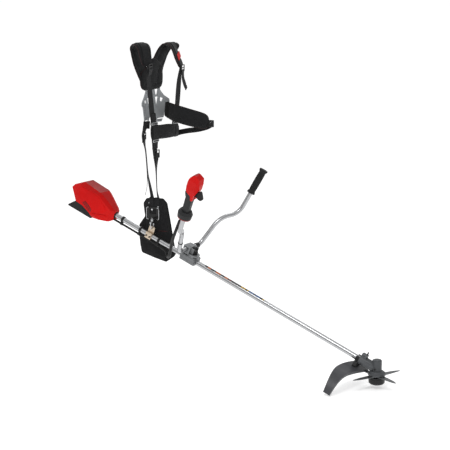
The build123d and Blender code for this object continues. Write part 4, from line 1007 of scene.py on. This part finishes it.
# plain hook-and-loop sleeve at the plate end, both sides
for sgn in (-1, 1):
    sl = Band([(wb.at(s, 0, sgn * 7.4), (0, 0, 1), wb.half(s) * 2 - 5) for s in np.linspace(3, 42, 8)],
              (0, 1, 0), step=4)
    strap("belt_sleeve_" + ("in" if sgn < 0 else "out"), sl, 1.6, "loop_pile", "harness")
    for s in (39.0, 36.5):
        pts = [wb.at(s, a, sgn * 8.35) for a in np.linspace(-36, 36, 26)]
        thread.line(pts, [wb.frame(s)[3] * sgn] * 26)
# gear pocket outline, stitched on both faces
for sgn in (-1, 1):
    for u0, u1, v0, v1 in ((0.33, 0.62, -0.55, 0.50),):
        path = []
        for f in np.linspace(v1, v0, 12):
            path.append((u0, f))
        for f in np.linspace(u0, u1, 16):
            path.append((f, v0))
        for f in np.linspace(v0, v1, 12):
            path.append((u1, f))
        pts = [wb.at(wb.length * u, v * wb.half(wb.length * u), sgn * 7.9) for u, v in path]
        nrm = [wb.frame(wb.length * u)[3] * sgn for u, v in path]
        thread.line(pts, nrm)
# webbing bridge sewn on the inner face near the buckle end, as the photograph shows
br = Band([(wb.at(wb.length * f, -16, -8.3), (0, 0, 1), 26) for f in np.linspace(0.70, 0.985, 9)], (0, -1, 0), step=4)
strap("belt_bridge", br, 2.0, "web", "harness")
thread.box_x(br, 3, 24, 20, 1.1)
thread.box_x(br, br.length - 27, 24, 20, 1.1)
for f in (0.72, 0.86):
    tab = Band([(wb.at(wb.length * f, a, -9.9), (1, 0, 0), 11) for a in (-33, -25, -12, 0, 4)], (0, -1, 0), step=4)
    strap("belt_tab_%d" % int(f * 100), tab, 1.8, "web", "harness")

# --- front pad ----------------------------------------------------------------
FRONT = [((74, -124, -119), 60), ((83, -70, -124), 65), ((86, 0, -127), 66), ((83, 62, -131), 60),
         ((75, 116, -133), 46)]
fb = Band([(p, (0, 0, 1), h) for p, h in FRONT], (1, 0, 0), step=5)
fpad = padded_band("chest_pad", fb, 16, "pad", "harness", channels=(), round_r=15, lining="lining",
                   crown=0.42, seam=4.0, puff=(7, 1.8))
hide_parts("front_pad")
for k in (-1, 1):
    edge_cord("chest_piping_" + ("a" if k < 0 else "b"), fb, k, 1.6, "binding", "harness", s0=3,
              s1=fb.length - 3, round_r=15)
    for b in (-5.8, 5.8):
        thread.on_band(fb, lambda s, k=k: k * (fb.half(s) - 6.5 - end_round(s, fb.length, 15)),
                       lambda s, b=b: b, 12, fb.length - 12)


def s_of(band, y):
    return float(np.interp(y, band.P[:, 1], band.s) if band.P[-1, 1] > band.P[0, 1]
                 else np.interp(-y, -band.P[:, 1], band.s))


def wrap_pad(name, y, width, z_top, z_low):
    """Webbing that runs down over both faces of the front pad at y."""
    s = s_of(fb, y)
    P, T, W, N = fb.frame(s)
    h = fb.half(s)
    for sgn in (-1, 1):
        st = []
        for v, out in ((z_top - P[2], 2.0), (h + 4, 3.2), (h - 4, 6.4), (h * 0.5, 9.0), (0, 9.5),
                       (-h * 0.5, 9.0), (-h + 4, 6.4), (-h - 4, 3.2), (z_low - P[2], 2.0)):
            st.append((P + np.array((0, 0, 1.0)) * v + N * sgn * out, T, width))
        b = Band(st, N * sgn, step=3)
        strap(name + ("_out" if sgn > 0 else "_in"), b, 2.0, "web", "harness")
        for k in (-1, 1):
            thread.on_band(b, k * (width / 2 - 3), 1.05 if sgn > 0 else 1.05, 12, b.length - 12)
    return s


wrap_pad("chest_wrap_right", -98, 40, -86.5, -159.0)
wrap_pad("chest_wrap_left", 87, 38, -100.5, -164.0)
# path for a block behind the right wrap; nothing is built from it
blk = Band([(fb.at(s_of(fb, y), 0, 8.6), (0, 0, 1), 40) for y in (-64, -52, -40)], (1, 0, 0), step=3)

# --- hip protector ------------------------------------------------------------
HIP = [(35, -452), (82, -447), (130, -446), (151, -465), (168, -548), (183, -629), (199, -710),
       (190, -724), (144, -756), (76, -742), (4, -724), (-4, -690), (-9, -646), (-9, -587),
       (26, -542), (20, -500), (17, -476)]


def hip_place(off=0.0):
    def place(u, v):
        d = off
        return np.array((u, -108.0 + d, v)), np.array((0, -1.0, 0))
    return place


hc = np.array((90.0, -610.0))
hip, HO = panel("hip_guard", corners(HIP, 9), hc, hip_place(), 12, "pad", "harness", edge=7,
                seams=([(134, -466), (150, -540), (168, -620), (184, -700)],
                       [(-2, -607), (60, -612), (170, -604)],
                       [(30, -470), (34, -540), (28, -600)]),
                seam_depth=1.5, spokes=190, rings=24, lining="lining", floor=4.4, puff=(6, 1.5))
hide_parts("hip_protector")
hp_ = resample(HO, 170)
# folded binding all round: a rounded band over the edge
tube_mesh("hip_binding", [np.array((p[0], -108.0, p[1])) for p in hp_], 3.1, "binding", "harness",
          closed=True, sides=12)
for yy, sg in ((-113.2, 1), (-102.8, -1)):
    P = [hc + (p - hc) * (1 - 7.0 / np.linalg.norm(p - hc)) for p in hp_]
    P.append(P[0])
    thread.line([np.array((q[0], yy, q[1])) for q in P], [np.array((0, -1.0 * sg, 0))] * len(P))


def hip_line(coll, pts, yy=-114.05, **kw):
    coll.line([np.array((x, yy, z)) for x, z in pts], [np.array((0, -1.0, 0))] * len(pts), **kw)


hip_line(red_thread, [(106, -606), (130, -605), (158, -603)], yy=-113.9, pitch=3.0, length=2.4, width=0.9,
         height=0.5)
hip_line(thread, [(138, -470), (154, -540), (172, -620), (188, -700)], yy=-113.4)
hip_line(thread, [(130, -470), (146, -540), (164, -620), (180, -700)], yy=-113.4)
hip_line(thread, [(26, -470), (30, -540), (24, -600)], yy=-113.4)
hip_line(thread, [(34, -470), (38, -540), (32, -600)], yy=-113.4)
# stiff carrier board sewn on behind the hook frame
BOARD = [(40, -454), (118, -452), (130, -480), (132, -560), (118, -586), (50, -586), (34, -566),
         (30, -480)]
bd, BO = panel("hip_board", corners(BOARD, 8), (82, -520), lambda u, v: (np.array((u, -113.6, v)), np.array((0, -1.0, 0))),
               3.0, "binding", "harness", edge=2.0, spokes=110, rings=8, floor=0.8)
bo = resample(BO, 90)
for ins in (4.5, 7.5):
    P = [np.array((82, -520)) + (p - np.array((82, -520))) * (1 - ins / np.linalg.norm(p - np.array((82, -520)))) for p in bo]
    P.append(P[0])
    hip_line(thread, P, yy=-115.15)


def rivet(name, x, z, y, r=4.0, look="steel"):
    n = 20
    prof = ((r, 0.0), (r, 0.5), (r * 0.86, 1.1), (r * 0.5, 1.5), (0.01, 1.65))
    V = [(x + a * math.cos(2 * math.pi * k / n), y - b, z + a * math.sin(2 * math.pi * k / n))
         for a, b in prof for k in range(n)]
    F = [(i * n + k, i * n + (k + 1) % n, (i + 1) * n + (k + 1) % n, (i + 1) * n + k)
         for i in range(len(prof) - 1) for k in range(n)]
    return add_mesh(name, V, F, look, "harness")


for i, (x, z) in enumerate(((54, -471), (105, -484), (70, -503))):
    rivet("hip_rivet_%d" % i, x, z, -115.0 if i != 2 else -117.6, 4.6, "plug")

# C-shaped wire brackets of the ladder frame round the hook carrier
for i, (cx, sg) in enumerate(((41.5, -1), (107.5, 1))):
    pts = [(cx - sg * 9, -492), (cx - sg * 2, -492), (cx + sg * 2.5, -496.5), (cx + sg * 3, -520), (cx + sg * 2.5, -546.5),
           (cx - sg * 2, -551), (cx - sg * 9, -551)]
    sm = chaikin([np.array((x, -118.6, z)) for x, z in pts], 3, closed=False)
    tube_mesh("hip_wire_%d" % i, sm, 2.0, "steel", "harness", sides=12)

# ---------------------------------------------------------------------------
# webbing
# ---------------------------------------------------------------------------
RIGHT_DOWN = [((79, -150, 206), (0.28, -0.96, 0)), ((77, -147, 184), (0.2, -0.98, 0)), ((75, -140, 130), (0.1, -1, 0)),
              ((74, -128, 60), (0, -1, 0)), ((73, -114, -20), (0, -1, 0)), ((73.5, -104, -66), (0, -1, 0))]
LEFT_DOWN = [((79, 140, 181), (-0.28, 0.96, 0)), ((78, 137, 162), (-0.28, 0.96, 0)), ((78, 128, 128), (-0.1, 0.99, 0)),
             ((78, 120, 90), (0, 1, 0)), ((78, 106, 0), (0, 1, 0)), ((76, 96, -50), (-0.1, 0.99, 0)), ((76, 88, -82), (0, 1, 0))]
TAIL = [((89, 144, 156), (-0.28, 0.96, 0)), ((92, 138, 124), (-0.1, 0.99, 0)), ((95, 146, 96), (0, 1, 0)),
        ((96, 162, 66), (-0.2, 0.98, 0))]
SIDE_WEB = [((80, 100, -150), (0, 0.1, 1)), ((88, 118, -146), (0, 0.1, 1)), ((140, 106, -134), (0, 0.1, 1)), ((210, 88, -121), (0, 0.1, 1)),
            ((270, 74, -104), (0, 0.1, 1)), ((300, 66, -90), (0, 0.1, 1))]
SUSP_A = [((12, -72, -80), (0.1, 1, 0), WEB_W), ((11, -90, -118), (-0.1, 1, 0), 34),
          ((14, -106, -152), (-0.25, 0.97, 0), 30), ((30, -109, -210), (-0.42, 0.91, 0), 27),
          ((40, -113, -270), (-0.45, 0.89, 0), 27), ((46, -112, -340), (-0.4, 0.92, 0), 27),
          ((56, -109, -396), (-0.1, 0.99, 0), 24), ((66, -108, -444), (0.1, 0.99, 0), 24)]
SUSP_B = [((70, -91, -159), (0, 1, 0), WEB_W), ((72, -90, -205), (0, 1, 0), WEB_W),
          ((74, -88, -246), (0, 1, 0), 34), ((81, -95, -306), (-0.42, 0.91, 0), 27),
          ((89, -103, -372), (-0.45, 0.89, 0), 27), ((94, -107, -412), (-0.45, 0.89, 0), 24),
          ((98, -108, -442), (-0.45, 0.89, 0), 24)]
rd = Band([(p, w, WEB_W) for p, w in RIGHT_DOWN], (1, 0, 0), step=4)
strap("webbing_right_front", rd, 2.1, "web", "harness", wobble=0.35)
ld = Band([(p, w, WEB_W) for p, w in LEFT_DOWN], (1, 0, 0), step=4)
strap("webbing_left_front", ld, 2.1, "web", "harness", wobble=0.35)
tl = Band([(p, w, 26) for p, w in TAIL], (1, 0, 0), step=4)
strap("webbing_left_tail", tl, 1.9, "web", "harness", wobble=0.3)
te = Band([(tl.at(s, 0, 1.7), tl.frame(s)[2], 26) for s in np.linspace(tl.length - 14, tl.length, 4)], (1, 0, 0), step=2)
strap("webbing_tail_hem", te, 1.5, "web", "harness")
thread.line([te.at(te.length * 0.3, a, 0.9) for a in (-11, 0, 11)], [te.frame(3)[3]] * 3)
sd = Band([(p, w, 26) for p, w in SIDE_WEB], (0, 1, 0), step=4)
strap("webbing_side", sd, 2.0, "web", "harness", wobble=0.35)
thread.box_x(sd, 3, 26, 20, 1.15)
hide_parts("shoulder_webbing")
sa = Band(SUSP_A, (1, -0.3, 0), step=4)
sb = Band(SUSP_B, (1, -0.3, 0), step=4)
s1 = strap("webbing_carrier_rear", sa, 1.9, "web", "harness", wobble=0.3)
s2 = strap("webbing_carrier_front", sb, 1.9, "web", "harness", wobble=0.3)
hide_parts("suspension_webbing")
# tabs where the carriers are sewn to the top of the protector
for i, (x, w) in enumerate(((66, 26), (98, 26))):
    tb = Band([((x, -111.0, -441), (1, 0, 0), w), ((x, -114.6, -450), (1, 0, 0), w),
               ((x, -116.4, -460), (1, 0, 0), w), ((x, -116.6, -484), (1, 0, 0), w)], (0, -1, 0), step=3)
    strap("hip_tab_%d" % i, tb, 1.8, "web", "harness")
    thread.box_x(tb, 14, 26, w - 7, 1.0)
# folds round the loops and adjusters
fold("fold_right_ring", (76, -102, -76), (0, -1, 0), (-0.03, -0.13, 1), WEB_W - 1, 44, "harness", normal_out=(1, 0, 0))
fold("fold_left_ring", (78, 86, -89), (0, 1, 0), (-0.03, 0.16, 1), WEB_W - 1, 44, "harness", normal_out=(1, 0, 0))
fold("fold_chest_right", (76, -102, -85), (0, -1, 0), (0.05, 0.05, -1), WEB_W - 1, 13, "harness", box=False,
     normal_out=(1, 0, 0))
fold("fold_chest_left", (78, 86, -98), (0, 1, 0), (0.0, 0.0, -1), WEB_W - 3, 12, "harness", box=False,
     normal_out=(1, 0, 0))
fold("fold_low_ring", (76, -92, -160.5), (0, -1, 0), (0.06, 0.0, 1), WEB_W - 1, 13, "harness", box=False,
     normal_out=(1, 0, 0))
fold("fold_low_carrier", (76, -92, -169.5), (0, -1, 0), (-0.08, 0.05, -1), WEB_W - 1, 36, "harness",
     normal_out=(1, 0, 0))
fold("fold_right_adjuster", (91, -150.5, 184), (0.2, -0.98, 0), (-0.26, 0.1, -1), WEB_W - 1, 26, "harness",
     normal_out=(1, 0, 0), box=False)
fold("fold_left_adjuster", (86.5, 143.5, 159), (-0.28, 0.96, 0), (-0.12, -0.12, -1), WEB_W - 1, 24, "harness",
     normal_out=(1, 0, 0), box=False)
for nm, c, wv in (("a", (22, -107, -146), (-0.25, 0.97, 0)), ("b", (80, -87, -231), (0, 1, 0))):
    fold("fold_carrier_" + nm, c, wv, (-0.1, 0, -1), 30, 30, "harness", normal_out=(1, 0, 0), box=False)
# bright wire of the rings
for k, (rx, ry, rz) in enumerate(((76, -102, -80.5), (78, 86, -93.5), (76, -92, -165))):
    loop = [np.array((rx + 5.5, ry + a, rz + b)) for a, b in
            ((-23, -4.5), (0, -4.5), (23, -4.5), (24.6, -2.5), (24.6, 2.5), (23, 4.5), (0, 4.5), (-23, 4.5),
             (-24.6, 2.5), (-24.6, -2.5))]
    tube_mesh("ring_wire_%d" % k, loop, 1.9, "steel", "harness", closed=True, sides=12)
# loose tails of the carriers

ta = Band([((26, -112, -160), (-0.3, 0.95, 0), 24), ((34, -116, -210), (-0.42, 0.91, 0), 24),
           ((43, -120, -270), (-0.45, 0.89, 0), 24), ((48, -123, -330), (-0.5, 0.86, 0), 24),
           ((47, -125, -392), (-0.5, 0.86, 0), 24), ((38, -127, -430), (-0.5, 0.86, 0), 24)], (1, -0.3, 0), step=4)
strap("carrier_tail_rear", ta, 1.7, "web", "harness", wobble=0.3)
tb2 = Band([((85, -92, -250), (0, 1, 0), 24), ((88, -100, -300), (-0.42, 0.91, 0), 24),
            ((93, -108, -352), (-0.45, 0.89, 0), 24), ((98, -113, -408), (-0.45, 0.89, 0), 24),
            ((108, -116, -440), (-0.3, 0.95, 0), 22)], (1, -0.3, 0), step=4)
strap("carrier_tail_front", tb2, 1.7, "web", "harness", wobble=0.3)
# strap from the plate's slot on the -Y side
for i, sy in enumerate((-1, 1)):
    if sy < 0:
        c = (round_back(2)(sy * 62, -76)[0][0], sy * 62, -76.0)
        fold("fold_plate_%d" % i, (c[0] + 1.0, c[1] - 2, c[2] - 7), (0.19, 0.98, 0), (0.05, -0.2, -1), 38, 30, "harness",
             normal_out=(1, 0, 0), box=False, r=2.9)

# ---------------------------------------------------------------------------
# free cable from the tube up to the throttle handle
# ---------------------------------------------------------------------------
LOOP = [(1235.9, -6, -22.5), (1206, -6, -22.5), (1176, -34, -26), (1150, -66, -22), (1130, -98, 2),
        (1117, -128, 40), (1108, -158, 86), (1092, -198, 146), (1070, -238, 208), (1056, -262, 268)]
loop_m = [at(*p) for p in LOOP]
cu = bpy.data.curves.new("cable_route", "CURVE")
cu.dimensions = "3D"
sp = cu.splines.new("NURBS")
sp.points.add(len(loop_m) - 1)
for q, p in zip(sp.points, loop_m):
    q.co = (*p, 1)
sp.order_u = 3
sp.use_endpoint_u = True
sp.resolution_u = 16
route_obj = bpy.data.objects.new("cable_route", cu)
bpy.context.scene.collection.objects.link(route_obj)
route_me = bpy.data.meshes.new_from_object(route_obj)
route_pts = [tuple(v.co) for v in route_me.vertices]
bpy.data.objects.remove(route_obj)
cable = tube_mesh("throttle_cable", [np.array(p) * 1000 for p in route_pts], 7.4, "sleeve", None, sides=20,
                  ends=False)
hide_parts("cable_loop")
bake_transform(cable)

# ---------------------------------------------------------------------------
# powerhead
# ---------------------------------------------------------------------------
PLAN = [(1534, 20), (1552, 38), (1606, 50), (1745, 50), (1801, 40)]


NOSE = [(1534, 14, 23), (1634, 33, 82), (1606, 50, 53)]
_p = [np.array(q, float) for q in NOSE]
NOSE_N = np.cross(_p[1] - _p[0], _p[2] - _p[0])


def half_at(s, n):
    w = float(np.interp(s, [a for a, _ in PLAN], [b for _, b in PLAN]))
    if n > 68:
        w = min(w, 50 - (n - 68) * 16 / 20.0)
    if n < -46:
        w = min(w, 50 - (-46 - n) * 12 / 16.0)
    # slanted shoulder beside the front slope
    y = _p[0][1] - (NOSE_N[0] * (s - _p[0][0]) + NOSE_N[2] * (n - _p[0][2])) / NOSE_N[1]
    return min(w, y)


def side_skin(sg, lift=0.0):
    def place(u, v):
        p = at(u, sg * (half_at(u, v) + lift), v) * 1000
        e = 2.0
        dw_s = (half_at(u + e, v) - half_at(u - e, v)) / (2 * e)
        dw_n = (half_at(u, v + e) - half_at(u, v - e)) / (2 * e)
        nrm = np.array(LEFT) * sg + np.array(FWD) * dw_s - np.array(UP) * dw_n
        return np.array(p), unit(nrm)
    return place


FIELD = corners([(1766, 46), (1740, 65), (1661, 64), (1620, 58), (1566, 12), (1582, -8), (1640, -24),
                 (1668, -6), (1694, 6), (1736, 3), (1770, 18)], 7)
LEDGE = corners([(1642, -35), (1564, -9), (1561, -16), (1592, -30), (1640, -44)], 4)
VENT = corners([(1716, -10), (1700, 3), (1676, -3), (1651, -18), (1650, -34), (1670, -31)], 4)
for sg, nm in ((-1, "right"), (1, "left")):
    body_look = "red"
    panel("side_field_" + nm, FIELD, (1668, 30), side_skin(sg), 2.6, body_look, "machine", edge=2.2,
          spokes=160, rings=14, floor=0.3)
    panel("side_ledge_" + nm, LEDGE, (1604, -28), side_skin(sg), 4.4, body_look, "machine", edge=3.0,
          spokes=110, rings=10, floor=0.4)
    # painted shade: the vent recess is a thin sheet in the darker red
    panel("vent_recess_" + nm, VENT, (1682, -13), side_skin(sg), 1.0, "red_dark", "machine", edge=1.2,
          spokes=90, rings=6, floor=0.3)
    for k in range(6):
        s0, n0 = 1707 - 9.0 * k, -1.0 - 4.6 * k
        pts = []
        for f in np.linspace(-1, 1, 6):
            P, Nn = side_skin(sg, 0.7)(s0 + 3.6 * f, n0 - 8.0 * f * (1 if k < 5 else 0.7) - 4)
            pts.append(P)
        tube_mesh("vent_rib_%s_%d" % (nm, k), pts, 1.15, "red", "machine", sides=10)

# the collar where the tube goes in
ring_pts = [np.array(at(1533.2, 15.4 * math.cos(a), 15.4 * math.sin(a))) * 1000
            for a in np.linspace(0, 2 * math.pi, 49)[:-1]]
tube_mesh("tube_collar", ring_pts, 2.2, "black", "machine", closed=True, sides=12)


def hoop(name, s, r, w, look, body="machine", y=0.0, n=0.0, t=1.0):
    k = 48
    V, F = [], []
    for ds, rr in ((-w / 2, r), (-w / 2 + 0.4, r + t), (w / 2 - 0.4, r + t), (w / 2, r)):
        for i in range(k):
            a = 2 * math.pi * i / k
            V.append(np.array(at(s + ds, y + rr * math.cos(a), n + rr * math.sin(a))) * 1000)
    for j in range(3):
        for i in range(k):
            F.append((j * k + i, j * k + (i + 1) % k, (j + 1) * k + (i + 1) % k, (j + 1) * k + i))
    return add_mesh(name, V, F, look, body, angle=30)


# ---------------------------------------------------------------------------
# handlebar: cable tie, sleeve, grip ribs
# ---------------------------------------------------------------------------
BAR = [(0.0, 48.0, -14.0), (95.0, 48.0, -14.0), (168.0, 192.0, 4.0), (272.0, 218.0, 45.0), (329.0, 456.0, 64.6)]


def bar_pt(i, side):
    y, n, f = BAR[i]
    return np.array(at(1077.0 - f, side * y, n)) * 1000


def bar_hoop(name, a, b, t, r, w, look, thick=1.3, body="handlebar"):
    """A ring round the straight run from a to b, t along it."""
    A, B = np.asarray(a), np.asarray(b)
    D = unit(B - A)
    c = A + (B - A) * t
    X = unit(np.cross(D, (0.3, 0.2, 0.93)))
    Y = np.cross(D, X)
    k = 48
    V, F = [], []
    prof = ((-w / 2, r), (-w / 2, r + thick * 0.7), (-w / 2 + thick * 0.4, r + thick), (w / 2 - thick * 0.4, r + thick),
            (w / 2, r + thick * 0.7), (w / 2, r))
    for d, rr in prof:
        for i in range(k):
            q = 2 * math.pi * i / k
            V.append(c + D * d + (X * math.cos(q) + Y * math.sin(q)) * rr)
    for j in range(len(prof) - 1):
        for i in range(k):
            F.append((j * k + i, j * k + (i + 1) % k, (j + 1) * k + (i + 1) % k, (j + 1) * k + i))
    return add_mesh(name, V, F, look, body, angle=30)


bar_hoop("bar_tie", bar_pt(1, -1), bar_pt(2, -1), 0.42, 11.15, 5.0, "black", 1.6)
bar_hoop("bar_sleeve", bar_pt(1, 1) + (bar_pt(0, 1) - bar_pt(1, 1)) * 0.5, bar_pt(1, 1), 0.36, 11.15, 26.0,
         "black", 2.4)
gt, gl = bar_pt(4, 1), bar_pt(3, 1)
gd = unit(gt - gl)
for k in range(12):
    d = 22 + 7.4 * k
    rr = float(np.interp(d, [12, 60, 114], [16.5, 17.5, 16.5]))
    c = gt - gd * d
    bar_hoop("grip_rib_%02d" % k, c - gd, c + gd, 0.5, rr - 0.4, 3.4, "rubber", 1.4)

# ribs moulded in the back of the throttle grip
hgo = np.array((526.559, -474.0, -313.333))
hx = np.array((0.898229, 0.018594, -0.439135))
hy = np.array((0.085740, 0.972498, 0.216554))
hz = np.array((0.431084, -0.232166, 0.871932))
for k in range(1, 9):
    d = 44 + 8.2 * k
    pts = []
    for q in np.linspace(-60, 60, 13):
        a = math.radians(180 + q)
        xo = float(np.interp(d, [28, 60, 118], [-17.4, -17.2, -17.0]))
        pts.append(hgo - hz * d + hx * (xo + 16.5 + 17.4 * math.cos(a)) + hy * (16.6 * math.sin(a)))
    tube_mesh("throttle_rib_%d" % k, pts, 1.3, "rubber", "handlebar", sides=8)

thread.build("stitching", "thread", "harness")
red_thread.build("stitching_red", "red_thread", "harness")
thread_bar.build("bar_tacks", "thread", "harness")

#==PIECES END==

# ---------------------------------------------------------------------------
# floor, light, camera
# ---------------------------------------------------------------------------
lo, hi = CAD_BOX
floor_z = lo[2] - 0.001
bpy.ops.mesh.primitive_plane_add(size=400, location=(0, 0, floor_z))
floor = bpy.context.object
floor.name = "floor"
fm = Mat("floor_white", (0.93, 0.93, 0.93), 0.6)
fm.set_color(fm.ramp(fm.noise(2, 3), [(0.3, (0.925, 0.925, 0.925)), (0.7, (0.935, 0.935, 0.935))]))
fm.b.inputs["Emission Color"].default_value = (1.0, 1.0, 1.0, 1)
fm.b.inputs["Emission Strength"].default_value = 0.40
floor.data.materials.append(fm.m)

world = bpy.data.worlds.new("studio")
bpy.context.scene.world = world
world.use_nodes = True
bg = world.node_tree.nodes["Background"]
wt = world.node_tree
wc = wt.nodes.new("ShaderNodeTexCoord")
ws = wt.nodes.new("ShaderNodeSeparateXYZ")
wt.links.new(wc.outputs["Generated"], ws.inputs[0])
wr = wt.nodes.new("ShaderNodeValToRGB")
el = wr.color_ramp.elements
el[0].position, el[0].color = 0.0, (0.30, 0.305, 0.31, 1)
el[1].position, el[1].color = 1.0, (1.0, 1.0, 1.0, 1)
for pos, val in ((0.22, 0.42), (0.42, 0.85)):
    e = el.new(pos)
    e.color = (val, val, val, 1)
wt.links.new(ws.outputs[2], wr.inputs[0])
wt.links.new(wr.outputs[0], bg.inputs[0])
bg.inputs[1].default_value = 0.80

target = (Vector(lo) + Vector(hi)) / 2


def area(name, loc, size, power, aim=None, color=(1, 1, 1)):
    d = bpy.data.lights.new(name, "AREA")
    d.shape = "RECTANGLE"
    d.size, d.size_y = size
    d.energy = power
    d.color = color
    o = bpy.data.objects.new(name, d)
    bpy.context.scene.collection.objects.link(o)
    o.location = loc
    o.rotation_mode = "QUATERNION"
    o.rotation_quaternion = ((aim or target) - Vector(loc)).to_track_quat("-Z", "Y")
    return o


area("key", (1.4, -3.0, 3.4), (1.8, 1.4), 70)
area("fill", (-3.6, -2.4, 1.2), (2.2, 2.0), 12)
area("rim", (-0.6, 3.2, 2.6), (2.4, 1.0), 28)

cam_data = bpy.data.cameras.new("camera")
cam = bpy.data.objects.new("camera", cam_data)
bpy.context.scene.collection.objects.link(cam)
cam.location = (3.6532, -5.4516, 0.7371)
look_at = Vector((0.5025, -0.145, -0.5297))
cam.rotation_mode = "QUATERNION"
cam.rotation_quaternion = (look_at - cam.location).to_track_quat("-Z", "Y")
cam_data.sensor_width = 36
cam_data.lens = 106.65
cam_data.clip_start, cam_data.clip_end = 0.05, 200
bpy.context.scene.camera = cam
bpy.context.scene.view_settings.view_transform = "Standard"
bpy.context.scene.view_settings.look = "None"

for o in list(bpy.data.objects):
    o.select_set(False)
